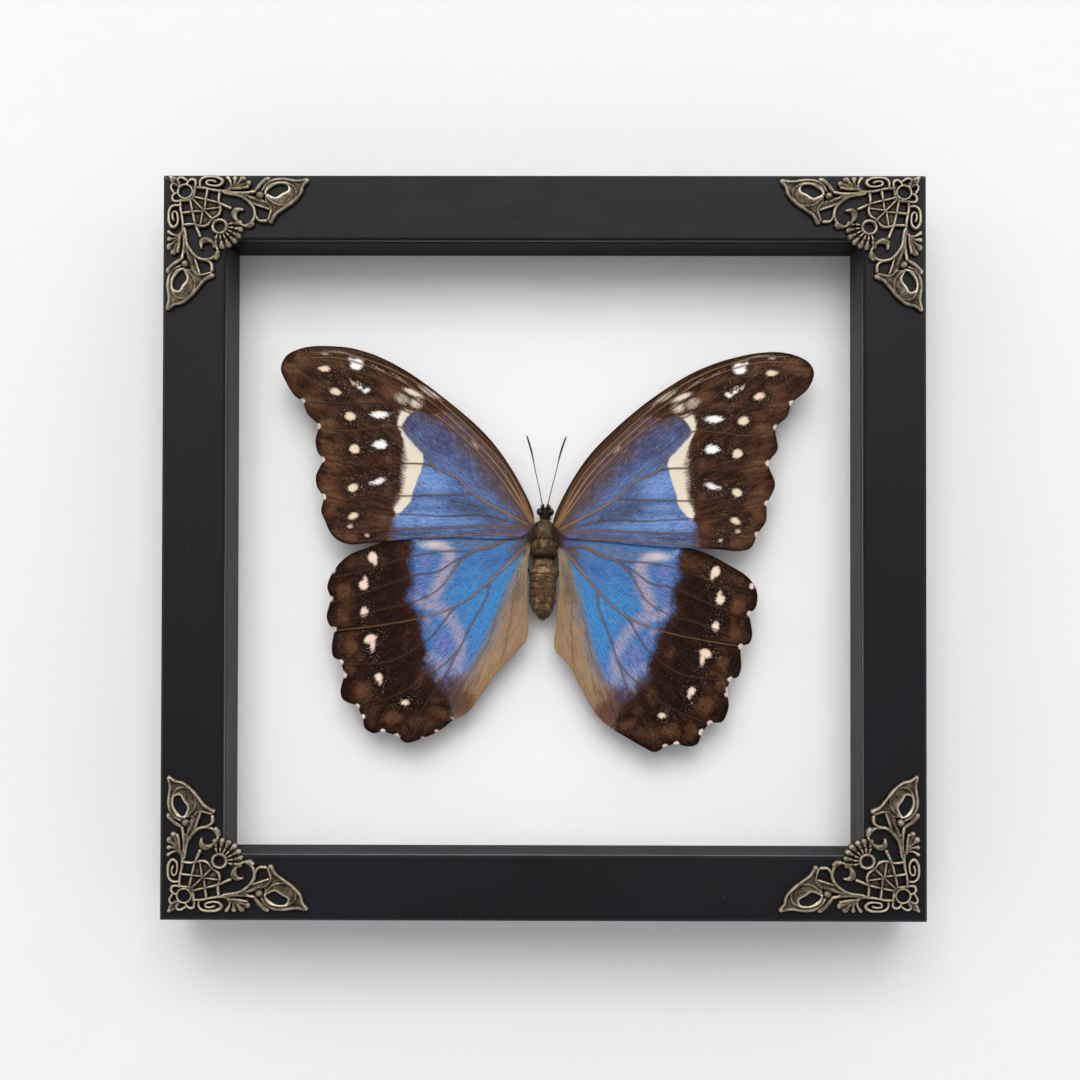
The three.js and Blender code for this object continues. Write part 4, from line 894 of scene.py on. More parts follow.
# %% Values stored on the wing
NOTCH_REACH = 4  # steps along the edge, half a millimetre each
NOTCH_TURN = 0.20
NOTCH_GAP = 2.5
TICK_RADIUS = 0.85
SOFT_MARKS = ("cream", "bright", "deep", "dusk", "slate", "pale", "peri", "teal", "mottle", "umber")


def notches(edge):
    """Where the margin turns inwards between two scallops."""
    before = edge - np.roll(edge, NOTCH_REACH, axis=0)
    after = np.roll(edge, -NOTCH_REACH, axis=0) - edge
    turning = before[:, 0] * after[:, 1] - before[:, 1] * after[:, 0]
    size = np.linalg.norm(before, axis=1) * np.linalg.norm(after, axis=1)
    area = np.sum(edge[:, 0] * np.roll(edge[:, 1], -1) - np.roll(edge[:, 0], -1) * edge[:, 1])
    inward = -np.sign(area) * turning / size
    found = []
    for index in np.argsort(-inward):
        if inward[index] < NOTCH_TURN:
            break
        if all(np.linalg.norm(edge[index] - spot) > NOTCH_GAP for spot in found):
            found.append(edge[index])
    return found


def vein_values(points, vein_paths, golds):
    """How deep in the nearest vein each point lies, and how golden that vein is."""
    vein, gold = np.full(len(points), -FAR), np.zeros(len(points))
    for path, golden in zip(vein_paths, golds):
        gap, where = line_distance(points, path)
        depth = path[where, 2] / 2 - gap
        nearer = depth > vein
        vein[nearer], gold[nearer] = depth[nearer], golden
    return vein, gold


def wing_values(points, edge, vein_paths, golds, pattern, carry, has_fold):
    """Every value that the wing's material reads, for each point."""
    drawn = carried(points, carry, back=True)
    values = {name: strokes(drawn, pattern.get(name, [])) for name in SOFT_MARKS}
    for name in ("pale", "dusk"):
        values[name] = np.maximum(values[name], trails(drawn, pattern.get(name + "_trails", [])))
    values["field"] = outlined(drawn, pattern["field"], 0.7)
    values["band"] = outlined(drawn, pattern["band"], 0.5)
    values["white"] = blots(drawn, pattern["white"])
    values["buff"] = blots(drawn, pattern["buff"])
    values["fold"] = outlined(drawn, FOLD, 0.8) if has_fold else np.full(len(points), -9.0)
    values["edge"], _ = line_distance(points, edge, closed=True)
    ticks = [(x, y, TICK_RADIUS, TICK_RADIUS, 0) for x, y in notches(edge) if x > 22 and abs(y - 50) > 3]
    values["tick"] = np.maximum(blots(points, ticks), blots(drawn, pattern.get("tick", [])))
    values["vein"], values["gold"] = vein_values(points, vein_paths, golds)
    if not has_fold:
        # the forewing's margin is paler beside each vein
        beside = np.exp(-(values["vein"] / 1.5) ** 2)
        beside = beside * swell(values["edge"], 0.3, 1.2) * swell(-values["edge"], -7.5, -3.5)
        values["mottle"] = np.maximum(values["mottle"], 0.95 * beside * (points[:, 0] > 50))
    radius, angle = np.hypot(*drawn.T), np.arctan2(drawn[:, 1], drawn[:, 0])
    values["flow"] = np.stack([radius * 0.16, angle * 46, np.zeros(len(points))], axis=1)
    return values


print("notches, left hindwing:", len(notches(smooth_path(HINDWING_LEFT, 0.5, closed=True))))

# %% [markdown]
# The same values shape the film. Veins stand up as ridges, the film between them sinks in a shallow pleat,
# and dry wings curl a little at the margin. Near the body, where the wings overlap, the film stays flat.

# %% Relief of the film, and one wing
PLEAT_REACH = 2.4


def wing_relief(points, values):
    """How far each point stands out of the flat: veins, pleats, and a margin that curls a little."""
    vein = np.clip(values["vein"] / 0.25 + 0.55, 0, 1)
    ridge = 0.13 * vein * vein * (3 - 2 * vein)
    pleat = 0.05 * np.cos(np.clip(-values["vein"], 0, PLEAT_REACH) / PLEAT_REACH * math.pi)
    out, up = points.T
    sway = 0.14 * np.sin(out * 0.21 + up * 0.10) * np.sin(up * 0.17 - out * 0.05 + 1.0)
    curl = 0.22 * np.clip(1 - values["edge"] / 3.0, 0, 1) ** 2 * np.sin(out * 0.7 + up * 0.9)
    away = np.clip((out - 12) / 16, 0, 1)
    return ridge + away * (pleat + sway + curl * 0.7)


def wing(name, outline, veins, pattern, side, front, material, carry, has_fold=False):
    edge = smooth_path(outline, 0.5, closed=True)
    paths = [smooth_path(carried(points, carry), 0.55) for _, points in veins]
    points, triangles = triangulated(edge, spread_points(edge, paths))
    values = wing_values(points, edge, paths, [gold for gold, _ in veins], pattern, carry, has_fold)
    relief = wing_relief(points, values)
    across, depth = math.cos(WING_RISE), math.sin(WING_RISE)
    front_face = np.stack([side * points[:, 0] * across, front - points[:, 0] * depth - relief,
                           points[:, 1] + BUTTERFLY_Z], axis=1)
    back_face = front_face + (0, FILM, 0)
    # the left side is a mirror image, so its triangles are turned round to face -Y
    if side < 0:
        triangles = triangles[:, ::-1]
    faces = closed_shell([tuple(triangle) for triangle in triangles.tolist()], len(points))
    doubled = {label: np.concatenate([value, value]) for label, value in values.items()}
    piece = mesh_object(name + "_scaled", np.vstack([front_face, back_face]), faces, material, doubled)
    mount(piece, [name])


# %% [markdown]
# ## The wings: the scales
#
# One node group lays the pattern down in the order in which the eye reads it: brown ground and its pale
# mottling, the cream band, the blue field, the spots, the fold, the veins, then the dark margin and its pale
# notches. Scales lie in rows that fan out from the root, so a fine streaked noise runs along the wing. Such
# noises push the edge of each mark to and fro, since it is made of single scales.

# %% The wing group, its noises and its helpers
WASHES = ("dusk", "slate", "deep", "bright", "teal", "peri", "pale")
SHADES = ("dark", "brown", "rust", "umber", "mottled", "blue", "shadow") + WASHES + (
    "cream", "white", "buff", "vein", "gold", "tan", "tick")
tree, shade_in, wing_out = new_group(
    "scaled_wing",
    [(shade.title(), "colour", None) for shade in SHADES] + [("Ragged", "value", 0.3)],
    [("Colour", "colour"), ("Roughness", "value"), ("Relief", "value")],
)
wing_group = tree
flow = attribute(tree, "flow", "Vector")
streak = noise(tree, flow, 1.0, 6.0, 0.70)
fine = noise(tree, flow, 2.6, 5.0, 0.85)
point = place(tree)
speck = noise(tree, point, 2400.0, 3.0, 0.9)
blotch = noise(tree, point, 700.0, 6.0, 0.78)
cloud = noise(tree, point, 190.0, 5.0, 0.7)


def plus(total, *parts):
    for part in parts:
        total = calc(tree, "ADD", total, part)
    return total


def times(product, *factors):
    for factor in factors:
        product = calc(tree, "MULTIPLY", product, factor)
    return product


def swing(value, reach):
    """A noise centred on nought, as far as about reach to either side."""
    return times(calc(tree, "SUBTRACT", value, 0.5), times(reach, 6.0))


def level(name, low, high, ragged):
    """A stored distance turned into a mask whose edge is ragged, in millimetres."""
    return step(tree, plus(attribute(tree, name), swing(blotch, ragged), swing(speck, times(ragged, 0.6))),
                low, high)


def wash(name, warp, ragged):
    """A stored soft stroke broken up by a noise."""
    warped = plus(attribute(tree, name), swing(warp, ragged), swing(speck, ragged * 0.6))
    return step(tree, times(warped, step(tree, attribute(tree, name), 0.0, 0.2)), 0.06, 0.92)


def shaded(low, high, amount, colour, value, towards):
    """The colour, drawn towards another one where the value is high."""
    return blend(tree, step(tree, value, low, high, 0.0, amount), colour, towards)


print("noises in the wing group:", len([node for node in tree.nodes if node.type == "TEX_NOISE"]))

# %% [markdown]
# The brown ground is streaked, redder beside the blue, darker round each spot and sprinkled with loose buff
# scales. Between the veins its margin is mottled.

# %% Brown ground
ground = blend(tree, step(tree, streak, 0.40, 0.62), shade_in["Dark"], shade_in["Brown"])
near_field = step(tree, attribute(tree, "field"), -5.0, -0.2, 0.0, 0.9)
ground = blend(tree, times(near_field, step(tree, fine, 0.38, 0.58)), ground, shade_in["Rust"])
edge_gap, vein_depth = attribute(tree, "edge"), attribute(tree, "vein")
margin = times(step(tree, edge_gap, 0.7, 2.4), step(tree, edge_gap, 8.5, 4.5),
               step(tree, vein_depth, -0.3, -1.1), step(tree, cloud, 0.40, 0.62), 0.55)
mottled = calc(tree, "MAXIMUM", wash("mottle", cloud, 0.26), margin)
mottled = times(mottled, step(tree, blotch, 0.34, 0.62, 0.40, 1.0))
ground = blend(tree, mottled, ground, shade_in["Mottled"])
ground = shaded(0.47, 0.62, 0.70, ground, fine, shade_in["Dark"])
ground = shaded(0.52, 0.64, 0.50, ground, blotch, shade_in["Dark"])
spot = calc(tree, "MAXIMUM", attribute(tree, "white"), attribute(tree, "buff"))
ground = blend(tree, step(tree, spot, -2.6, -0.3, 0.0, 0.75), ground, shade_in["Dark"])
flecks = times(step(tree, speck, 0.60, 0.68), step(tree, spot, -3.0, -0.6, 0.12, 0.7))
ground = blend(tree, flecks, ground, shade_in["Buff"])
print("nodes so far:", len(tree.nodes))

# %% [markdown]
# The cream band is crisp towards the blue and feathers out into the brown. The blue field lies over its inner
# side. It is washed with the duller and brighter blues in turn, and dark scales show through all of them.

# %% Cream band and blue field
creamy = shaded(0.48, 0.66, 0.40, shade_in["Cream"], fine, shade_in["Buff"])
creamy = shaded(0.56, 0.70, 0.40, creamy, speck, shade_in["Mottled"])
outer_side = step(tree, attribute(tree, "field"), -1.2, -4.2)
feather = times(swing(fine, 1.1), outer_side)
in_band = step(tree, plus(feather, plus(attribute(tree, "band"), swing(blotch, 0.40))),
               calc(tree, "MULTIPLY_ADD", outer_side, -0.55, -0.35),
               calc(tree, "MULTIPLY_ADD", outer_side, 1.5, 0.45))
colour = blend(tree, in_band, ground, creamy)
field = shade_in["Blue"]
for name in WASHES:
    warp = cloud if name in ("dusk", "slate") else streak
    field = blend(tree, wash(name, warp, 0.24), field, shade_in[name.title()])
umber = wash("umber", fine, 0.30)
field = blend(tree, umber, field, shade_in["Umber"])
field = shaded(0.49, 0.62, 0.80, field, fine, shade_in["Shadow"])
field = shaded(0.47, 0.35, 0.60, field, fine, shade_in["Pale"])
field = shaded(0.53, 0.64, 0.65, field, speck, shade_in["Shadow"])
field = shaded(0.52, 0.66, 0.40, field, streak, shade_in["Shadow"])
ragged = shade_in["Ragged"]
in_field = level("field", times(ragged, -1.9), times(ragged, 1.3), ragged)
colour = blend(tree, in_field, colour, field)
colour = blend(tree, wash("cream", fine, 0.30), colour, creamy)
print("nodes so far:", len(tree.nodes))

# %% [markdown]
# Spots come next, with feathered edges. The fold beside the body has no blue scales: it is tan, greyer near
# its border, with a golden rim.

# %% Spots and tan fold
for name, feathering, inner in (("buff", 0.35, 0.35), ("white", 0.40, 0.40)):
    feathered = plus(attribute(tree, name), swing(fine, feathering))
    colour = blend(tree, step(tree, feathered, -0.30, inner), colour, shade_in[name.title()])
in_fold = level("fold", -1.0, 0.7, 0.35)
greyer = step(tree, plus(attribute(tree, "fold"), swing(cloud, 1.0)), 3.6, 0.2, 0.0, 0.55)
folded = blend(tree, greyer, shade_in["Tan"], shade_in["Slate"])
folded = shaded(0.42, 0.70, 0.45, folded, streak, shade_in["Brown"])
folded = shaded(0.54, 0.68, 0.35, folded, speck, shade_in["Brown"])
fold_rim = step(tree, edge_gap, 2.8, 0.3, 0.0, 0.8)
folded = blend(tree, times(fold_rim, step(tree, blotch, 0.36, 0.56)), folded, shade_in["Gold"])
folded = blend(tree, times(umber, 0.85), folded, shade_in["Umber"])
colour = blend(tree, in_fold, colour, folded)
print("nodes so far:", len(tree.nodes))

# %% [markdown]
# Veins are golden along the front edge and over the blue, and dark on the brown. Beside each vein the
# colour is painted darker, a painted shade of the raised vein, and the crest keeps the vein's own colour.
# The root is painted rust-brown, partly for its brown hair and partly as painted shade where the wing meets
# the body, and the thin dark margin with its pale ticks closes the wing.

# %% Veins, root and margin
not_fold = calc(tree, "SUBTRACT", 1.0, in_fold)
lit = calc(tree, "MAXIMUM", in_field, times(in_band, 0.5), clamp=True)
lit = calc(tree, "MAXIMUM", lit, step(tree, attribute(tree, "gold"), 0.86, 0.96, 0.0, 0.65))
golden = times(attribute(tree, "gold"), lit, step(tree, streak, 0.30, 0.52, 0.35, 1.0))
shows = calc(tree, "MULTIPLY_ADD", in_fold, -0.72, 1.0)
# painted shade beside each raised vein: the film is drawn darker along the vein's sides
beside = step(tree, vein_depth, -0.45, -0.04, 0.0, 0.50)
colour = blend(tree, times(beside, shows), colour, shade_in["Vein"])
crest = step(tree, vein_depth, -0.07, 0.04, 0.0, 0.90)
colour = blend(tree, times(crest, shows), colour, blend(tree, golden, shade_in["Vein"], shade_in["Gold"]))

from_root = put(tree, "ShaderNodeSeparateXYZ", Vector=flow).outputs["X"]
# the root is painted rust-brown: partly its brown hair, partly painted shade where the wing meets the body
root_hair_and_painted_shade = step(tree, plus(from_root, swing(streak, 0.25)), 0.45, 1.75, 0.85, 0.0)
root_hair_and_painted_shade = times(root_hair_and_painted_shade, step(tree, fine, 0.35, 0.60, 0.55, 1.0), not_fold)
colour = blend(tree, root_hair_and_painted_shade, colour, shade_in["Rust"])

rim = step(tree, plus(edge_gap, swing(blotch, 0.12)), 0.70, 0.28)
rim = times(rim, not_fold, step(tree, in_field, 0.2, 0.8, 0.60, 0.15))
colour = blend(tree, rim, colour, shade_in["Dark"])
colour = blend(tree, times(level("tick", -0.15, 0.30, 0.20), not_fold, 0.92), colour, shade_in["Tick"])

wire(tree, colour, wing_out["Colour"])
wire(tree, step(tree, speck, 0.3, 0.7, 0.40, 0.62), wing_out["Roughness"])
wire(tree, calc(tree, "MULTIPLY_ADD", fine, 0.6, speck), wing_out["Relief"])
print("nodes in the wing group:", len(tree.nodes))

# %% [markdown]
# Fore- and hindwings share the group, each with its own shades. The surface is satin, never wet: the light
# lives on the scales.

# %% Scaled material and the four wings
def wing_material(name, ragged, shades):
    material, tree, shader = new_material(name, Specular_IOR_Level=0.03)
    scales = use_group(tree, wing_group, Ragged=ragged,
                       **{label.title(): paint(*shades[label]) for label in SHADES})
    dress(tree, shader, Base_Color=scales["Colour"], Roughness=scales["Roughness"],
          Normal=bump(tree, scales["Relief"], 0.00008, 0.6))
    return material


forewing_scales = wing_material("forewing_scales", 0.20, {
    "dark": (30, 17, 10), "brown": (76, 45, 27), "rust": (86, 54, 36), "umber": (78, 52, 44),
    "mottled": (108, 74, 49),
    "blue": (86, 112, 160), "shadow": (46, 50, 76), "dusk": (88, 68, 62), "slate": (68, 76, 100),
    "deep": (72, 76, 110), "bright": (116, 150, 204), "teal": (80, 150, 170), "peri": (104, 120, 170),
    "pale": (142, 158, 196), "cream": (218, 205, 186), "white": (238, 232, 230), "buff": (226, 202, 172),
    "vein": (50, 36, 30), "gold": (150, 112, 70), "tan": (148, 124, 100), "tick": (224, 204, 188)})
hindwing_scales = wing_material("hindwing_scales", 0.85, {
    "dark": (20, 7, 3), "brown": (43, 21, 12), "rust": (66, 37, 26), "umber": (76, 47, 33),
    "mottled": (106, 70, 43),
    "blue": (64, 118, 176), "shadow": (42, 66, 112), "dusk": (104, 88, 80), "slate": (90, 112, 142),
    "deep": (58, 80, 132), "bright": (58, 132, 190), "teal": (86, 150, 168), "peri": (102, 116, 170),
    "pale": (174, 162, 176), "cream": (218, 202, 188), "white": (240, 234, 232), "buff": (228, 202, 180),
    "vein": (54, 38, 30), "gold": (142, 108, 72), "tan": (150, 124, 96), "tick": (222, 200, 190)})

FOREWING_FRONT = -17.3
HINDWING_FRONT = -16.6
for side, label, fore, hind in ((-1, "left", FOREWING_LEFT, HINDWING_LEFT),
                                (1, "right", FOREWING_RIGHT, HINDWING_RIGHT)):
    wing("forewing_" + label, fore, FOREWING_VEINS, FOREWING_PATTERN, side, FOREWING_FRONT,
         forewing_scales, CARRY["forewing"] if side > 0 else None)
    wing("hindwing_" + label, hind, HINDWING_VEINS, HINDWING_PATTERN, side, HINDWING_FRONT,
         hindwing_scales, CARRY["hindwing"] if side > 0 else None, has_fold=True)


# %% [markdown]
# ## The corner castings
#
# Each corner carries a thin die-cast filigree in antique bronze: two rings, a lattice between them, and two
# mirrored arms with a palmette, scrolls, a fork and a drop-shaped leaf. A pattern maker would lay half-round
# wires on a flat ground and press the result into sand, and the mesh is made the same way. Everything is
# drawn in millimetres from the middle of the outer ring, u along the rail and v towards the opening.

# %% The casting's drawing
INNER_RING = 9.12  # its centre, on the diagonal
CASTING_STRANDS = [
    # petals of the outer ring
    [(-1.5, -1.7, .4), (-2, -2.9, .45), (-1.8, -3.8, .45), (-1, -4.1, .45), (.2, -3.3, .4)],
    [(.4, -1.9, .4), (.7, -2.9, .5), (1.5, -3.55, .5), (2.4, -3.3, .5), (2.65, -2.1, .5), (2.35, 0, .55),
     (2.2, 1.6, .55)],
    # oval scroll
    [(3.8, -1.3, .45), (3.75, -2.9, .5), (4.5, -4.1, .5), (6.5, -4.6, .5), (8.5, -4.25, .55),
     (9.55, -3.1, .6), (8.9, -1.95, .5), (7.2, -1.7, .45), (5.6, -2.15, .45), (5.5, -3.1, .45),
     (6.6, -3.4, .45), (7.7, -3.05, .45)],
    # lattice
    [(2.3, -1.15, .5), (4.5, -1.1, .5), (6.8, -.65, .5), (9.6, -.3, .6), (11.4, -.6, .6)],
    [(5.75, -.8, .5), (5.4, 1.7, .5), (5.15, 4.4, .45)],
    [(8.95, -.4, .6), (8.7, 1.3, .55), (8.75, 2.8, .55), (9.15, 4.3, .55), (8.8, 5.9, .55), (7.1, 7.25, .6)],
    [(1.9, 1.3, .5), (5.4, 2.05, .5), (8.5, 2.8, .55), (11.8, 4.15, .6)],
    [(5, 4.7, .45), (8.9, 4.1, .45)],
    # palmette
    [(11.7, -.9, .5), (11.75, -2.6, .5), (10.8, -4.6, .6)],
    [(12.1, -1.3, .4), (12.75, -3, .6), (12.7, -4.6, .9)],
    [(12.6, -1.4, .4), (13.9, -2.9, .75), (14.8, -4.2, 1.1)],
    [(13.1, -1.4, .4), (14.9, -2.25, .75), (16.1, -2.7, 1.1)],
    [(11.2, -1, .5), (13.8, -1.2, .55), (16, -1.65, .6)],
    # fork, cross stick and the stick beside the leaf
    [(15.3, .6, .6), (17.4, 1.45, .6), (19.3, 2.2, .5)],
    [(16.9, 2.7, .4), (19.1, 3.35, .45), (21.6, 4.2, .45)],
    [(18.3, -.8, .7), (19.4, -2.4, .8), (21.2, -4.4, .9)],
    # open scroll, its two beads and the comma
    [(15, 1.2, .7), (16.4, 2.2, .7), (17.6, 3.7, .65), (18.05, 5.4, .6), (17.8, 7, .6), (17.2, 7.9, .6)],
    [(18, 5.2, .5), (18.5, 6.5, .55), (19.3, 7.3, .55), (20.9, 7.35, .6)],
    [(16, 8.75, .75), (16.7, 8.55, 1.05), (17.4, 8.15, .8)],
    [(15.3, 8.75, .5), (14.1, 8.1, .6), (13.1, 6.9, .8), (12.75, 5.6, 1.1), (13.1, 4.8, 1.05),
     (13.9, 4.45, .75), (14.9, 4.5, .35)],
    # ridges of the drop-shaped leaf
    [(19.9, -.8, .5), (20.9, -2.5, .55), (22.7, -3.8, .6), (25, -4.2, .6), (28.6, -3.7, .6),
     (31.1, -4.1, .7)],
    [(31.2, -4, .7), (30.2, -2.2, .6), (29.7, -.3, .6), (27.7, 2.2, .6), (25.2, 4.1, .6), (23.4, 5.5, .7),
     (22.2, 7.4, .9)],
    [(20.6, .2, .45), (21.3, -1.8, .45), (23.6, -3, .45), (26.2, -2.95, .45), (28.4, -1.3, .45),
     (28.3, 1.2, .45), (25.8, 3.05, .45), (23, 2.7, .45), (20.9, .8, .45)],
    [(20.8, 2.3, .5), (22.2, 4, .5), (21.6, 7, .5)],
]
LOW, MIDDLE, RIDGE = 0.72, 1.1, 1.4
CASTING_PLATES = [
    (LOW, [(1.3, 1.3), (5.4, 2.05), (8.7, 2.8), (9.1, 5.2), (8.4, 6.4), (7.2, 7.2)]),
    (MIDDLE, [(-1.1, -1.3), (-1.5, -3.1), (-2.9, -4.2), (-4.4, -4.5)]),
    (RIDGE, [(9.6, -.5), (12.9, -.3), (15.7, -.4), (18.2, -.65), (18.3, -.1), (16.5, .3), (15.7, 1.6),
             (13.4, 1), (9.6, .2)]),
    (MIDDLE, [(15.3, .8), (18.9, 1.2), (20.8, 2.3), (21.7, 4.1), (19.1, 3.4), (16.2, 2.4)]),
    (MIDDLE, [(20, -1.2), (20.9, -2.8), (22.6, -4), (24.8, -4.45), (28.8, -3.95), (31.3, -4.3), (30.4, -2.2),
              (29.8, -.2), (27.9, 2.4), (25.4, 4.3), (23.6, 5.7), (22.6, 7.6), (21.5, 7.4), (21.9, 5),
              (20.7, 2.3), (20.5, .6)]),
]
LEAF_HOLE = [(20.7, -.1), (21.7, -1.6), (24, -2.75), (26.3, -2.4), (26.7, -.9), (25.1, .1), (23.4, 1.2),
             (21.7, .7)]
RINGS = [(0.0, 1.57, 2.15), (INNER_RING, 1.35, 2.25)]  # centre on the diagonal, hole, outer radius
BEAD = (19.3, 0.45, 1.2, 1.9)  # u, v, radius, height
PETAL_ROWS = [  # petals, step in degrees, [(radius, width), ...]
    (7, 20, [(2.2, .30), (2.8, .42), (3.35, .42)]),
    (7, 19, [(4.15, .62), (4.75, .98), (5.25, 1)]),
]
FAN_RADIUS, FAN_HALF_ANGLE = 5.4, 64
CORNER_SEATS = {  # side in x, side in z, inward, turn in degrees
    "top_left": (-1, 1, (6, 4.6), 1.2), "top_right": (1, 1, (6.05, 4.75), 1.2),
    "bottom_left": (-1, -1, (6.6, 6.6), .5), "bottom_right": (1, -1, (6.55, 7), -.3)}
print("strands:", len(CASTING_STRANDS), "plates:", len(CASTING_PLATES))

# %% [markdown]
# The relief is a height on a fine grid. A strand is half round, a plate is flat with a soft edge, and the
# higher one wins where two meet. A second value tells how deep inside the metal a point lies.

# %% Laying strands and plates
CAST_PITCH = 0.15
CAST_FROM, CAST_TO = -6.0, 33.0
SKIRT = 0.5  # height of a strand at its sides
JOIN = 0.12  # how softly one strand runs into the next
STRAND_GROWTH = 1.65  # the metal spreads beyond the drawn line
SQUEEZE_FROM = -2.0
STRAIGHT_EDGE = -4.45
OFF_METAL = -9.0
ticks = np.arange(CAST_FROM, CAST_TO, CAST_PITCH)
grid_u, grid_v = np.meshgrid(ticks, ticks, indexing="ij")
grid = np.stack([grid_u.ravel(), grid_v.ravel()], axis=1)


def soft_max(a, b):
    """The larger of two fields, rounded where they meet."""
    gap = np.clip(0.5 + (a - b) / (2 * JOIN), 0, 1)
    return b + (a - b) * gap + JOIN * gap * (1 - gap)


def lay(metal, depth, rise):
    """Adds a form to the metal, a pair of fields: depth inside the outline, and height."""
    return soft_max(metal[0], depth), soft_max(metal[1], rise)


def half_round(across, crest):
    """Height of a wire, from its middle, where across is 0, to its side, where it is 1."""
    return SKIRT + (crest - SKIRT) * np.sqrt(1 - np.clip(across, 0, 1) ** 2)


def squeezed(v, share):
    """The drawing's outer side, pressed in towards the casting's straight edge."""
    return np.where(v < SQUEEZE_FROM, SQUEEZE_FROM + (v - SQUEEZE_FROM) * share, v)


def lay_strand(metal, drawn):
    """Half-round wire along a drawn line of (u, v, width)."""
    path = smooth_path(drawn, 0.25)
    path[:, 2] *= STRAND_GROWTH
    path[:, 1] = np.maximum(squeezed(path[:, 1], 0.8), STRAIGHT_EDGE + path[:, 2] / 2)
    low, high = path[:, :2].min(axis=0) - 1.6, path[:, :2].max(axis=0) + 1.6
    near = np.all((grid > low) & (grid < high), axis=1)
    gap, where = line_distance(grid[near], path)
    half = path[where, 2] / 2
    depth, rise = np.full(len(grid), OFF_METAL), np.zeros(len(grid))
    depth[near] = half - gap
    rise[near] = half_round(gap / np.maximum(half, 0.05), RIDGE)
    rise[near] *= np.clip(1 + (half - gap) / 0.25, 0, 1)
    return lay(metal, depth, rise)


def lay_plate(metal, height, outline):
    """A flat piece with a soft edge."""
    edge = smooth_path(outline, 0.4, closed=True)
    edge[:, 1] = squeezed(edge[:, 1], 0.86)
    depth = signed_distance(grid, edge)
    return lay(metal, depth, height * np.clip(0.72 + depth / 0.5, 0, 1) * (depth > -0.1))


print("grid:", grid_u.shape)

# %% [markdown]
# One arm is laid first, with its bead and the hole in its leaf. Swapping u and v gives the other arm. Then
# come the parts on the diagonal: the stick, the fan with its two rows of petals, and the two rings.

# %% The casting's relief
def one_arm():
    metal = np.full(len(grid), OFF_METAL), np.zeros(len(grid))
    for height, outline in CASTING_PLATES:
        metal = lay_plate(metal, height, outline)
    for drawn in CASTING_STRANDS:
        metal = lay_strand(metal, drawn)
    bead_u, bead_v, bead_radius, bead_height = BEAD
    gap = np.hypot(grid[:, 0] - bead_u, grid[:, 1] - bead_v)
    metal = lay(metal, bead_radius - gap, bead_height * np.sqrt(np.clip(1 - (gap / bead_radius) ** 2, 0, 1)))
    hole = signed_distance(grid, smooth_path(LEAF_HOLE, 0.4, closed=True))
    return np.minimum(metal[0], -hole), metal[1]


def from_inner_ring(radius, angle):
    return INNER_RING + radius * math.cos(angle), INNER_RING + radius * math.sin(angle)


def lay_diagonal(metal):
    metal = lay_strand(metal, [(1.3, 1.3, .55), (5.0, 5.0, .5), (7.6, 7.6, .6)])
    turns = np.radians(np.linspace(45 - FAN_HALF_ANGLE, 45 + FAN_HALF_ANGLE, 9))
    fan = [from_inner_ring(FAN_RADIUS, turned) for turned in turns]
    metal = lay_plate(metal, LOW, fan + [(INNER_RING, INNER_RING)])
    for petals, turn_step, profile in PETAL_ROWS:
        for petal in range(petals):
            angle = math.radians(45 + (petal - (petals - 1) / 2) * turn_step)
            metal = lay_strand(metal, [(*from_inner_ring(radius, angle), width) for radius, width in profile])
    for centre, ring_hole, outer in RINGS:
        gap = np.hypot(grid[:, 0] - centre, grid[:, 1] - centre)
        middle, half = (ring_hole + outer) / 2, (outer - ring_hole) / 2
        off_middle = np.abs(gap - middle)
        rise = half_round(off_middle / half, RIDGE + 0.1) * (off_middle < half + 0.2)
        metal = lay(metal, half - off_middle, rise)
        metal = np.minimum(metal[0], gap - ring_hole), metal[1]
    return metal


def blurred(field, passes):
    for _ in range(passes):
        padded = np.pad(field, 1, mode="edge")
        field = (padded[:-2, 1:-1] + padded[2:, 1:-1] + padded[1:-1, :-2] + padded[1:-1, 2:]
                 + 2 * padded[1:-1, 1:-1]) / 6
    return field


arm = [field.reshape(grid_u.shape) for field in one_arm()]
cast_shape, cast_height = lay_diagonal([soft_max(field, field.T).ravel() for field in arm])
cast_shape, cast_height = cast_shape.reshape(grid_u.shape), cast_height.reshape(grid_u.shape)
hand_made = 0.05 * np.sin(grid_u * 1.7 + grid_v * 0.6) * np.sin(grid_v * 1.3 - grid_u * 0.4)
cast_height = np.maximum(blurred(cast_height, 1) + hand_made, 0.25)
print("highest point of the casting (mm):", round(float(cast_height.max()), 2))

# %% [markdown]
# The mesh keeps the squares that hold metal and a narrow slope round them. Points along the foot are pulled
# onto it, so that the outline runs smoothly. How far a point stands above its surroundings is stored too,
# since that is where a cloth rubs the bronze.

# %% Mesh of the casting
DRAFT = 0.18  # how far the slope reaches out
PULL = 0.11
SQUARE = ((0, 0), (1, 0), (1, 1), (0, 1))


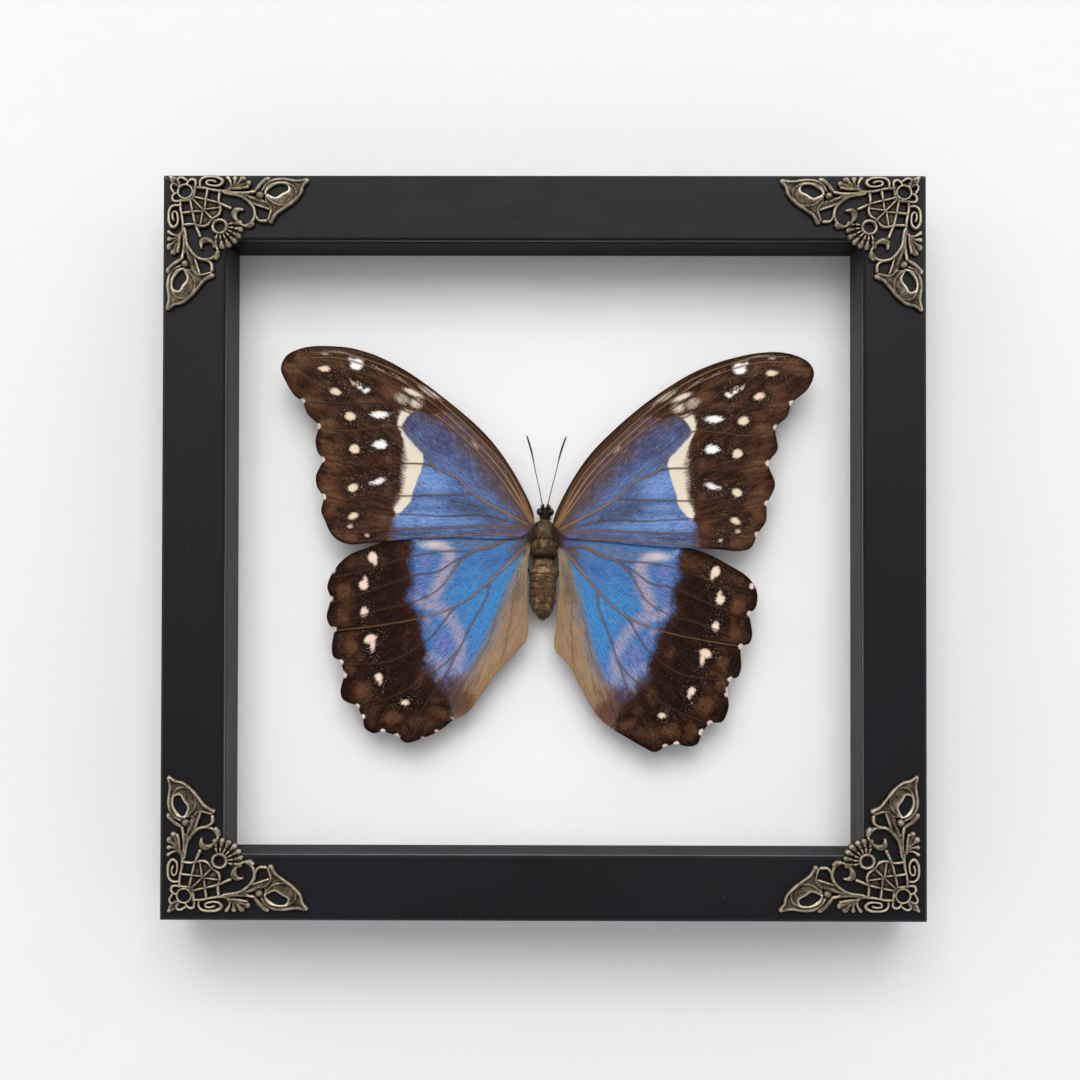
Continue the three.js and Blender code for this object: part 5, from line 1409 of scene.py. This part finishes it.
def casting_mesh():
    """Points (u, v, height), faces, and how exposed each point is."""
    slope_u, slope_v = np.gradient(cast_shape, CAST_PITCH)
    steep = np.maximum(np.hypot(slope_u, slope_v), 0.3)
    middle = (cast_shape[:-1, :-1] + cast_shape[1:, :-1] + cast_shape[:-1, 1:] + cast_shape[1:, 1:]) / 4
    kept = middle > -DRAFT
    touching = np.zeros(cast_shape.shape, int)
    for du, dv in SQUARE:
        touching[du:du + kept.shape[0], dv:dv + kept.shape[1]] += kept
    on_edge = (touching > 0) & (touching < 4)
    pull = np.clip((cast_shape + DRAFT) / steep, -PULL, PULL) * on_edge
    used = touching > 0
    u, v = grid_u - pull * slope_u / steep, grid_v - pull * slope_v / steep
    top = np.stack([u[used], v[used], cast_height[used]], axis=1)
    number = np.full(cast_shape.shape, -1)
    number[used] = np.arange(len(top))
    rows, columns = np.nonzero(kept)
    corners = np.stack([number[rows + du, columns + dv] for du, dv in SQUARE], axis=1)
    front = [tuple(ring) for ring in corners.tolist()]
    around = blurred(cast_height * (cast_shape > 0) + 0.2 * (cast_shape <= 0), 14)
    exposed = np.tile((cast_height - around)[used], 2)
    return np.vstack([top, top * (1, 1, 0)]), closed_shell(front, len(top)), exposed


cast_points, cast_faces, cast_exposed = casting_mesh()
print("casting:", len(cast_points), "points,", len(cast_faces), "faces")

# %% [markdown]
# Antique bronze is brass dipped dark and then rubbed: the hollows stay dark brown and the ridges show pale
# gold. A noise makes the rubbing uneven. Each corner is cast from the same mould, then set on by hand, so it
# turns a degree or so.

# %% Bronze and the four castings
def antique_bronze():
    material, tree, shader = new_material("antique_bronze", Metallic=0.9)
    point = place(tree)
    tooth = use_group(tree, tooth_group, Vector=point, Cloud_Size=500.0, Tooth_Size=5200.0)
    uneven = calc(tree, "MULTIPLY_ADD", calc(tree, "SUBTRACT", tooth["Cloud"], 0.5), 0.45,
                  attribute(tree, "rub"))
    grain = calc(tree, "MULTIPLY_ADD", calc(tree, "SUBTRACT", tooth["Tooth"], 0.5), 0.85, uneven)
    colour = blend(tree, step(tree, grain, -0.16, 0.12), paint(24, 20, 17), paint(122, 108, 88))
    colour = blend(tree, step(tree, grain, 0.06, 0.38), colour, paint(224, 210, 184))
    dress(tree, shader, Base_Color=colour, Roughness=step(tree, grain, 0.0, 0.5, 0.62, 0.34),
          Normal=bump(tree, tooth["Tooth"], 0.00012, 0.7))
    return material


bronze = antique_bronze()
SEAT_Y = -32.3
STRETCH = 0.017  # the castings are a little longer than they are high
HALF_WIDTH, HALF_HEIGHT = 100, 97.5


def corner_casting(label, side_x, side_z, inward, turned):
    cosine, sine = math.cos(math.radians(turned)), math.sin(math.radians(turned))
    u, v, rise = cast_points.T
    along = u * cosine - v * sine
    down = -u * sine - v * cosine
    x = side_x * (HALF_WIDTH - inward[0]) - side_x * (1 + STRETCH) * along
    z = FRAME_CENTRE_Z / MM + side_z * (HALF_HEIGHT - inward[1]) + side_z * (1 - STRETCH) * down
    placed = np.stack([x, SEAT_Y - rise, z], axis=1)
    faces = cast_faces if side_x * side_z > 0 else [face[::-1] for face in cast_faces]
    piece = mesh_object("filigree_" + label, placed, faces, bronze, {"rub": cast_exposed})
    mount(piece, ["corner_ornament_" + label])


for label, seat in CORNER_SEATS.items():
    corner_casting(label, *seat)

# %% [markdown]
# ## The body
#
# A butterfly's body is three horny parts under a coat of hair: a head that is mostly eyes, a barrel of flight
# muscle, and a soft ringed abdomen that shrinks as it dries. Each is a lofted skin with real relief, measured
# from the wing roots, x to the right, y in depth and z up. The whole body leans a degree.

# %% Skins and tubes
BODY_Y = -15.8
LEAN = math.radians(1.1)


def leaned(points):
    """Body coordinates to the object's own millimetres."""
    x, y, z = np.asarray(points, float).T
    return np.stack([x * math.cos(LEAN) + z * math.sin(LEAN), y,
                     z * math.cos(LEAN) - x * math.sin(LEAN) + BUTTERFLY_Z], axis=1)


def grid_faces(rows, columns):
    """Faces of rows of points that close round, each row below the one before."""
    return [(r * columns + c, r * columns + (c + 1) % columns,
             (r + 1) * columns + (c + 1) % columns, (r + 1) * columns + c)
            for r in range(rows - 1) for c in range(columns)]


def skin(stations, rows, columns, relief):
    """A closed loft down the body, through stations of (z, half width, half depth, shift in depth).

    relief(x, z, facing) gives how far each point stands out. facing is 1 at the front.
    """
    spine = smooth_path(stations, 0.05)
    wanted = np.linspace(0, len(spine) - 1, rows)
    z, half_width, half_depth, shift = (np.interp(wanted, np.arange(len(spine)), column)
                                        for column in spine.T)
    angles = np.linspace(0, 2 * math.pi, columns, endpoint=False)
    cosine, sine = np.cos(angles)[None], np.sin(angles)[None]
    x = half_width[:, None] * cosine
    out = relief(x, np.broadcast_to(z[:, None], x.shape), np.broadcast_to(-sine, x.shape))
    x = x + out * cosine
    y = BODY_Y + shift[:, None] + (half_depth[:, None] + out) * sine
    points = np.stack([x, y, np.broadcast_to(z[:, None], x.shape)], axis=2).reshape(-1, 3)
    ends = [points[:columns].mean(axis=0), points[-columns:].mean(axis=0)]
    total, last = len(points), len(points) - columns
    faces = grid_faces(rows, columns)
    faces += [(total, (c + 1) % columns, c) for c in range(columns)]
    faces += [(total + 1, last + c, last + (c + 1) % columns) for c in range(columns)]
    return np.vstack([points, ends]), faces


def lump_faces(rows, columns):
    """Faces of rows of points that close round, with a fan over each end. The two end points come last."""
    total, last = rows * columns, (rows - 1) * columns
    faces = grid_faces(rows, columns)
    faces += [((c + 1) % columns, c, total) for c in range(columns)]
    faces += [(last + c, last + (c + 1) % columns, total + 1) for c in range(columns)]
    return faces


def tube(path, radii, sides):
    """A tapered tube along a path, closed at both ends."""
    path, radii = np.asarray(path, float), np.asarray(radii, float)
    along = np.gradient(path, axis=0)
    along /= np.linalg.norm(along, axis=1)[:, None]
    first = np.cross(along, (0.0, 1.0, 0.2))
    first /= np.linalg.norm(first, axis=1)[:, None]
    second = np.cross(along, first)
    angles = np.linspace(0, 2 * math.pi, sides, endpoint=False)
    rings = path[:, None] + radii[:, None, None] * (
        np.cos(angles)[None, :, None] * first[:, None] + np.sin(angles)[None, :, None] * second[:, None])
    return np.vstack([rings.reshape(-1, 3), path[:1], path[-1:]]), lump_faces(len(path), sides)


print("lean of the body (degrees):", round(math.degrees(LEAN), 1))

# %% [markdown]
# The coat is real hair: short tapered strands of three sides, each with its own length, bend and tint. Roots
# are scattered evenly over a skin, by area, and only where a rule allows them.

# %% Hair
POINTS_PER_HAIR = 10


def hairs(roots, aims, lengths, radius, bend, rng):
    """Many tapered three-sided strands. Each bends by its own random amount."""
    count = len(roots)
    aims = aims / np.linalg.norm(aims, axis=1)[:, None]
    first = np.cross(aims, (0.31, 0.2, 0.93))
    first /= np.linalg.norm(first, axis=1)[:, None]
    second = np.cross(aims, first)
    curl = bend[:, None] * (rng.normal(size=(count, 1)) * first + rng.normal(size=(count, 1)) * second)
    rows = []
    for t, taper in ((0.0, 1.0), (0.45, 0.8), (0.8, 0.45)):
        centre = roots + (aims * t + curl * t * t) * lengths[:, None]
        for corner in range(3):
            angle = corner * 2 * math.pi / 3
            rows.append(centre + radius * taper * (math.cos(angle) * first + math.sin(angle) * second))
    rows.append(roots + (aims + curl) * lengths[:, None])
    points = np.stack(rows, axis=1).reshape(-1, 3)
    turns = ((0, 1), (1, 2), (2, 0))
    one = [(ring + a, ring + b, ring + 3 + b, ring + 3 + a) for ring in (0, 3) for a, b in turns]
    one += [(6 + a, 6 + b, 9) for a, b in turns] + [(2, 1, 0)]
    faces = [tuple(POINTS_PER_HAIR * hair + n for n in face) for hair in range(count) for face in one]
    return points, faces


def grown(roots, outward, aims, shortest, longest, radius, limp, rng, sunk=0.05):
    """Hair from its roots, sunk a little into the skin. The limper it is, the more it may bend."""
    lengths = rng.uniform(shortest, longest, len(roots))
    return hairs(roots - outward * sunk, aims, lengths, radius, rng.uniform(0.0, limp, len(roots)), rng)


def assemble(name, parts, materials, node_name):
    """Joins parts into one piece. A part is (points, faces, material number, tint per point)."""
    points, faces, which, tints, offset = [], [], [], [], 0
    for part_points, part_faces, number, tint in parts:
        points.append(part_points)
        faces += [tuple(int(n) + offset for n in face) for face in part_faces]
        which += [number] * len(part_faces)
        tints.append(np.broadcast_to(tint, len(part_points)))
        offset += len(part_points)
    piece = mesh_object(name, leaned(np.vstack(points)), faces, materials[0], {"tint": np.concatenate(tints)})
    for material in materials[1:]:
        piece.data.materials.append(material)
    piece.data.polygons.foreach_set("material_index", which)
    mount(piece, [node_name])


def scattered(points, faces, count, rng, keep):
    """Random places on a skin, with their outward directions, where keep(x, y, z) allows them."""
    corners = np.array([face[:3] for face in faces])
    corners = corners[keep(*points[corners].mean(axis=1).T)]
    a, b, c = (points[corners[:, k]] for k in range(3))
    across = np.cross(b - a, c - a)
    area = np.linalg.norm(across, axis=1)
    outward = across / np.maximum(area, 1e-9)[:, None]
    picked = rng.choice(len(corners), size=count, p=area / area.sum())
    s, t = rng.uniform(0, 1, (2, count, 1))
    return a[picked] + s * (b - a)[picked] + t * (c - b)[picked] * s, outward[picked]


print("points in a hair:", POINTS_PER_HAIR)

# %% [markdown]
# Three materials dress the body: a horny skin with a fine wrinkle, hair that runs from almost black to pale
# gold by its stored tint, and the eye, which is the only wet-looking thing in the frame.

# %% Materials of the body
def tinted(name, dark, middle, light, roughness, wrinkle):
    """Dark to light by the stored tint, broken up by a noise."""
    material, tree, shader = new_material(name, Roughness=roughness, Specular_IOR_Level=0.22)
    tooth = use_group(tree, tooth_group, Vector=place(tree), Cloud_Size=900.0, Tooth_Size=wrinkle)
    cloud_shift = calc(tree, "SUBTRACT", tooth["Cloud"], 0.5)
    shade = calc(tree, "MULTIPLY_ADD", cloud_shift, 0.7, attribute(tree, "tint"))
    colour = blend(tree, step(tree, shade, 0.0, 0.5), dark, middle)
    colour = blend(tree, step(tree, shade, 0.5, 1.0), colour, light)
    dress(tree, shader, Base_Color=colour, Normal=bump(tree, tooth["Tooth"], 0.00008, 0.7))
    return material


def eye_black():
    material, tree, shader = new_material("eye_black", Roughness=0.16)
    facets = put(tree, "ShaderNodeTexVoronoi", Vector=place(tree), Scale=9000.0).outputs["Distance"]
    dress(tree, shader, Base_Color=blend(tree, facets, paint(4, 4, 4), paint(16, 13, 11)),
          Normal=bump(tree, facets, 0.00002, 0.4))
    return material


body_skin = tinted("body_skin", paint(16, 10, 6), paint(70, 50, 32), paint(150, 118, 78), 0.42, 3800.0)
body_hair = tinted("body_hair", paint(14, 9, 6), paint(78, 58, 38), paint(186, 152, 102), 0.5, 5200.0)
pale_hair = tinted("pale_hair", paint(112, 94, 72), paint(164, 146, 120), paint(208, 196, 172), 0.6, 5200.0)
head_skin = tinted("head_skin", paint(16, 13, 11), paint(40, 33, 27), paint(120, 98, 70), 0.6, 4200.0)
eyes_black = eye_black()
print("body materials made")

# %% [markdown]
# The thorax carries a dark shield in front, split by a fine groove, and behind it a lighter cross band with a
# small golden tuft in the middle and one at each wing root. The hair lies flat and points to the tail.

# %% Thorax
THORAX = [(5.6, 1.0, 1.3, -0.3), (4.7, 2.0, 2.4, -0.3), (3.0, 2.75, 3.2, -0.2), (0.8, 3.3, 3.5, -0.1),
          (-1.6, 3.2, 3.3, 0.0), (-3.6, 2.9, 2.8, 0.1), (-4.5, 2.2, 2.0, 0.2)]
LUMP_WAVES = 16


def shield(x, z):
    """1 on the front shield, which narrows towards the head, 0 off it."""
    half = np.interp(z, [0.6, 1.6, 3.6, 5.4], [1.5, 2.3, 1.6, 0.7])
    return swell(half - np.abs(x), -0.25, 0.35) * swell(z, 0.4, 1.0)


def lumps(x, z, seed, shortest=0.7, longest=2.4):
    """An irregular relief between about -1 and 1, made of many waves."""
    rng = np.random.default_rng(seed)
    total = np.zeros(np.shape(x))
    for _ in range(LUMP_WAVES):
        length = rng.uniform(shortest, longest)
        heading = rng.uniform(0, math.pi)
        total = total + np.sin(2 * math.pi / length * (x * math.cos(heading) + z * math.sin(heading))
                               + rng.uniform(0, 6.28))
    return total / math.sqrt(LUMP_WAVES)


def thorax_relief(x, z, facing):
    upper = swell(facing, -0.1, 0.5)
    groove = np.exp(-(x / 0.16) ** 2) * swell(z, 0.6, 1.4)
    cross = np.exp(-((z + 0.55) / 0.75) ** 2) * swell(2.6 - np.abs(x), 0.0, 0.8)
    waist = np.exp(-((z - 0.35) / 0.28) ** 2) + np.exp(-((z + 2.3) / 0.3) ** 2)
    wrinkles = 0.05 * np.sin(z * 9 + np.cos(x * 2.1) * 2.0) * swell(-z, 0.5, 1.5)
    return upper * (0.34 * shield(x, z) + 0.22 * cross - 0.16 * groove - 0.22 * waist + wrinkles
                    + 0.07 * lumps(x, z, 3))


def thorax():
    rng = np.random.default_rng(11)
    points, faces = skin(THORAX, 90, 72, thorax_relief)
    x, _, z = points.T
    tint = 0.44 + 0.10 * lumps(x, z, 4) + 0.10 * shield(x, z) - 0.3 * np.exp(-((z + 4.2) / 0.5) ** 2)
    tint = tint - 0.2 * swell(np.abs(x), 2.5, 3.1)
    parts = [(points, faces, 0, tint)]
    coats = [
        # number, shortest, longest, radius, tint low, tint high, how far sideways, where
        (2200, 0.7, 1.5, 0.035, 0.20, 0.76, 0.35, lambda x, y, z: y < BODY_Y + 0.6),
        (900, 1.4, 2.6, 0.032, 0.10, 0.65, 0.8, lambda x, y, z: (np.abs(x) > 1.9) & (y < BODY_Y + 2.0)),
        (1100, 1.4, 3.4, 0.034, 0.06, 0.66, 2.8,
         lambda x, y, z: (np.abs(x) > 1.8) & (np.abs(z - 2.5) < 2.5) & (y < BODY_Y + 0.4)),
        (160, 0.9, 1.6, 0.035, 0.50, 0.95, 0.35,
         lambda x, y, z: (np.hypot(x + 0.2, z + 0.5) < 0.75) & (y < BODY_Y - 1.5)),
        (300, 0.8, 1.5, 0.035, 0.60, 1.0, 0.6,
         lambda x, y, z: (np.hypot(np.abs(x) - 2.6, z + 0.7) < 0.7) & (y < BODY_Y - 0.8)),
    ]
    for count, shortest, longest, radius, low, high, spread, keep in coats:
        roots, outward = scattered(points, faces, count, rng, keep)
        sideways = np.stack([np.sign(roots[:, 0]) * rng.uniform(0.0, spread, count), np.zeros(count),
                             rng.normal(-1.0, 0.3 * spread, count)], axis=1)
        aims = outward * rng.uniform(0.25, 0.6, (count, 1)) + sideways + rng.normal(0, 0.22, (count, 3))
        coat = grown(roots, outward, aims, shortest, longest, radius, 0.3, rng)
        dark_joint = np.exp(-((roots[:, 2] + 3.9) / 0.6) ** 2)
        shade = rng.uniform(low, high, count) - 0.5 * dark_joint
        parts.append((*coat, 1, np.repeat(shade, POINTS_PER_HAIR)))
    assemble("thorax_coat", parts, [body_skin, body_hair], "thorax")


thorax()

# %% [markdown]
# The abdomen has eight rings. Each laps a little over the next, and drying has left them wrinkled: the
# first is smooth and golden, the last ones dark. A crease runs down each side. The sides are painted dark,
# and dark hair stands out from them into the gap beside each wing fold: painted shade of that deep gap.

# %% Abdomen
RINGS_OF_ABDOMEN, ABDOMEN_TOP, ABDOMEN_LENGTH = 8, -4.8, 16.4
GOLDEN_RING, GOLDEN_WIDTH = 0.19, 0.09  # as shares of the abdomen's length
GIRTHS = [(0.0, 2.55), (0.1, 3.0), (0.25, 3.35), (0.45, 3.55), (0.62, 3.5), (0.78, 3.1), (0.88, 2.35),
          (0.95, 1.6), (1.0, 0.9)]  # share of the length, half width
ABDOMEN = [(ABDOMEN_TOP - ABDOMEN_LENGTH * along, girth, 0.92 * girth, 0.4) for along, girth in GIRTHS]


def abdomen_relief(x, z, facing):
    along = (ABDOMEN_TOP - z) / ABDOMEN_LENGTH
    bow = 0.012 * np.cos(x * 0.9) + 0.010 * lumps(x, z, 8, 2.0, 5.0)
    part = ((along + bow) * RINGS_OF_ABDOMEN) % 1.0
    lap = 0.20 * part ** 1.5 - 0.22 * np.exp(-(part / 0.10) ** 2) - 0.20 * np.exp(-((1 - part) / 0.05) ** 2)
    soft = swell(along, 0.10, 0.3)
    wrinkles = 0.17 * np.abs(lumps(x * 0.4, z * 1.4, 5)) - 0.10
    dimples = 0.09 * lumps(x, z, 6, 1.4, 3.2)
    crease = 0.5 * np.exp(-((facing - 0.30) / 0.13) ** 2)
    back_line = 0.08 * np.exp(-(x / 0.25) ** 2) * soft
    return lap + soft * (wrinkles + dimples) - crease - back_line


def abdomen():
    rng = np.random.default_rng(12)
    points, faces = skin(ABDOMEN, 170, 72, abdomen_relief)
    x, _, z = points.T
    along = (ABDOMEN_TOP - z) / ABDOMEN_LENGTH
    part = (along * RINGS_OF_ABDOMEN) % 1.0
    golden = np.exp(-((along - GOLDEN_RING) / GOLDEN_WIDTH) ** 2) * (0.75 + 0.5 * lumps(x, z, 9, 1.0, 2.6))
    tint = 0.56 + 0.22 * golden - 0.30 * swell(along, 0.86, 1.0) - 0.22 * np.exp(-(part / 0.10) ** 2)
    side = np.abs(x) / np.maximum(np.abs(x).max(), 1e-6)
    # painted shade: the skin darkens towards each side, beside the deep gap to the wing fold
    tint = tint - 0.40 * swell(side, 0.86, 0.98) - 0.25 * np.exp(-((along - 0.01) / 0.03) ** 2)
    tint += 0.13 * lumps(x * 0.5, z, 7)
    parts = [(points, faces, 0, tint)]
    coats = [
        # number, shortest, longest, tint low, tint high, how far it stands off, where
        (1700, 0.35, 0.7, 0.25, 0.95, 0.30, lambda x, y, z: y < BODY_Y + 1.5),
        (200, 0.5, 0.8, 0.9, 1.15, 0.30, lambda x, y, z: y < BODY_Y + 1.5),
        # dark hair standing out along each side into the gap beside the fold: painted shade of that gap
        (1300, 0.8, 1.6, 0.0, 0.25, 1.6, lambda x, y, z: (np.abs(x) > 2.5) & (z > -16) & (y < BODY_Y + 1.0)),
    ]
    for count, shortest, longest, low, high, stand, keep in coats:
        roots, outward = scattered(points, faces, count, rng, keep)
        aims = outward * rng.uniform(0.5, 1.5, (count, 1)) * stand + (0, 0, -1)
        aims = aims + rng.normal(0, 0.25, (count, 3))
        coat = grown(roots, outward, aims, shortest, longest, 0.03, 0.3, rng, sunk=0.04)
        along = (ABDOMEN_TOP - roots[:, 2]) / ABDOMEN_LENGTH
        shade = rng.uniform(low, high, count) - 0.3 * swell(along, 0.85, 1.0)
        shade = shade + 0.16 * np.exp(-((along - GOLDEN_RING) / GOLDEN_WIDTH) ** 2)
        parts.append((*coat, 1, np.repeat(shade, POINTS_PER_HAIR)))
    assemble("abdomen_coat", parts, [body_skin, body_hair], "abdomen")


abdomen()

# %% [markdown]
# The head is small and dark between two black eyes. Stiff tufts stand up at the roots of the feelers, and two
# short palps point forward. The feelers are slender, ringed, and end in a slim club.

# %% Head and feelers
HEAD_CENTRE = np.array([0.2, BODY_Y - 0.6, 7.25])
PALP = [(0.45, -0.9, 0.75), (0.55, -1.5, 1.65), (0.5, -1.7, 2.45)]
PALP_RADII = [.42, .38, .12]


def ball(centre, radii, rows, columns, relief=0.0):
    """A rounded lump with a little relief, pointing up."""
    turns = np.linspace(0, math.pi, rows)[1:-1]
    angles = np.linspace(0, 2 * math.pi, columns, endpoint=False)
    t, a = np.meshgrid(turns, angles, indexing="ij")
    scale = 1 + relief * np.sin(3 * a + 2) * np.sin(4 * t)
    points = np.stack([np.sin(t) * np.cos(a) * scale, -np.sin(t) * np.sin(a) * scale, np.cos(t)], axis=2)
    points = np.vstack([points.reshape(-1, 3), [(0, 0, 1)], [(0, 0, -1)]]) * radii + centre
    return points, lump_faces(rows - 2, columns)


def head():
    rng = np.random.default_rng(13)
    skull_points, skull_faces = ball(HEAD_CENTRE, (1.2, 1.45, 1.25), 26, 36, 0.05)
    parts = [(skull_points, skull_faces, 0, 0.3)]
    for side in (-1, 1):
        eye_centre = HEAD_CENTRE + (side * 1.42, -0.55, 0.35)
        parts.append((*ball(eye_centre, (0.95, 1.0, 1.02), 28, 36), 2, 0.0))
        palp = smooth_path([HEAD_CENTRE + (side * out, y, z) for out, y, z in PALP], 0.15)
        palp_radii = np.interp(np.linspace(0, 1, len(palp)), [0, .5, 1], PALP_RADII)
        parts.append((*tube(palp, palp_radii, 10), 0, 0.2))
    coats = [
        # number, shortest, longest, radius, tint low, tint high, how it lies, where
        (900, 0.5, 1.0, 0.03, 0.05, 0.6, (0.0, -0.2, -0.3), lambda x, y, z: np.abs(x - 0.2) < 1.15),
        (260, 1.0, 1.9, 0.035, 0.0, 0.25, (0.0, -0.1, 1.3),
         lambda x, y, z: (np.abs(np.abs(x - 0.2) - 0.65) < 0.35) & (z > 7.6)),
        (420, 0.9, 1.7, 0.035, 0.0, 0.45, (0.0, 0.0, -1.0), lambda x, y, z: z < 6.9),
    ]
    for count, shortest, longest, radius, low, high, lie, keep in coats:
        roots, outward = scattered(skull_points, skull_faces, count, rng, keep)
        aims = outward * rng.uniform(0.4, 0.9, (count, 1)) + lie + rng.normal(0, 0.2, (count, 3))
        coat = grown(roots, outward, aims, shortest, longest, radius, 0.25, rng)
        parts.append((*coat, 1, np.repeat(rng.uniform(low, high, count), POINTS_PER_HAIR)))
    assemble("head_and_eyes", parts, [head_skin, body_hair, eyes_black], "head")


FEELER = [(0.6, -16.0, 8.9), (1.7, -16.6, 14.0), (2.95, -17.4, 19.3), (3.9, -18.0, 23.6), (5.3, -18.6, 28.0)]
FEELER_RADII = [0.14, 0.115, 0.11, 0.125, 0.26, 0.22]
FEELER_RINGS = 42


def feeler(label, side):
    # smooth_path spaces points by their first two values, so x and z go first
    path = smooth_path([(0.1 + side * x, z, y) for x, y, z in FEELER], 0.12)[:, [0, 2, 1]]
    share = np.linspace(0, 1, len(path))
    ringed = 1 + 0.10 * np.sin(share * 2 * math.pi * FEELER_RINGS)
    radii = np.interp(share, np.linspace(0, 1, len(FEELER_RADII)), FEELER_RADII) * ringed
    radii[-6:] *= np.linspace(0.95, 0.25, 6)
    points, faces = tube(path, radii, 12)
    tint = 0.15 + 0.3 * np.interp(points[:, 2], [20, 28], [0, 1])
    parts = [(points, faces, 0, tint)]
    assemble("feeler_" + label, parts, [head_skin], "antenna_" + label)


head()
feeler("left", -1)
feeler("right", 1)

# %% [markdown]
# The legs are folded under the thorax. Their CAD shapes are right, so they only get a finish: brown horn, a
# little darker in patches. Long pale hair lies along the inner fold of each hindwing, beside the abdomen.

# %% Legs and the hair of the fold
def leg_horn():
    material, tree, shader = new_material("leg_horn", Roughness=0.45)
    tooth = use_group(tree, tooth_group, Vector=place(tree), Cloud_Size=700.0, Tooth_Size=4200.0)
    dress(tree, shader, Base_Color=blend(tree, tooth["Cloud"], paint(58, 42, 28), paint(108, 82, 54)),
          Normal=bump(tree, tooth["Tooth"], 0.00005, 0.6))
    return material


horn = leg_horn()
for name in nodes:
    if name.startswith("leg_"):
        finish_node(name, horn)
FOLD_HAIRS = 420


def fold_hair(label, side):
    """Long pale hair on the hindwing beside the abdomen, lying towards the tail."""
    rng = np.random.default_rng(20 + side)
    along = 1 - np.sqrt(1 - rng.uniform(0, 1, FOLD_HAIRS))
    out = 4.6 + rng.uniform(0.0, 1.0, FOLD_HAIRS) * (1.2 + 3.4 * along)
    up = -4.0 - 13.0 * along + rng.normal(0, 0.6, FOLD_HAIRS)
    depth = HINDWING_FRONT - out * math.sin(WING_RISE) - 0.02
    roots = np.stack([side * out, depth, up], axis=1)
    aims = np.stack([side * rng.uniform(0.05, 0.5, FOLD_HAIRS), rng.uniform(-0.14, -0.03, FOLD_HAIRS),
                     np.full(FOLD_HAIRS, -1.0)], axis=1)
    points, faces = grown(roots, np.zeros(3), aims, 1.6, 5.4, 0.032, 0.10, rng)
    points[:, 2] += BUTTERFLY_Z
    tint = np.repeat(rng.uniform(0.2, 1.0, FOLD_HAIRS) - 0.25 * along, POINTS_PER_HAIR)
    piece = mesh_object("fold_hair_" + label, points, faces, pale_hair, {"tint": tint})
    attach(piece, "root")
    print(piece.name, "-", len(piece.data.polygons), "faces")


for label, side in (("left", -1), ("right", 1)):
    fold_hair(label, side)
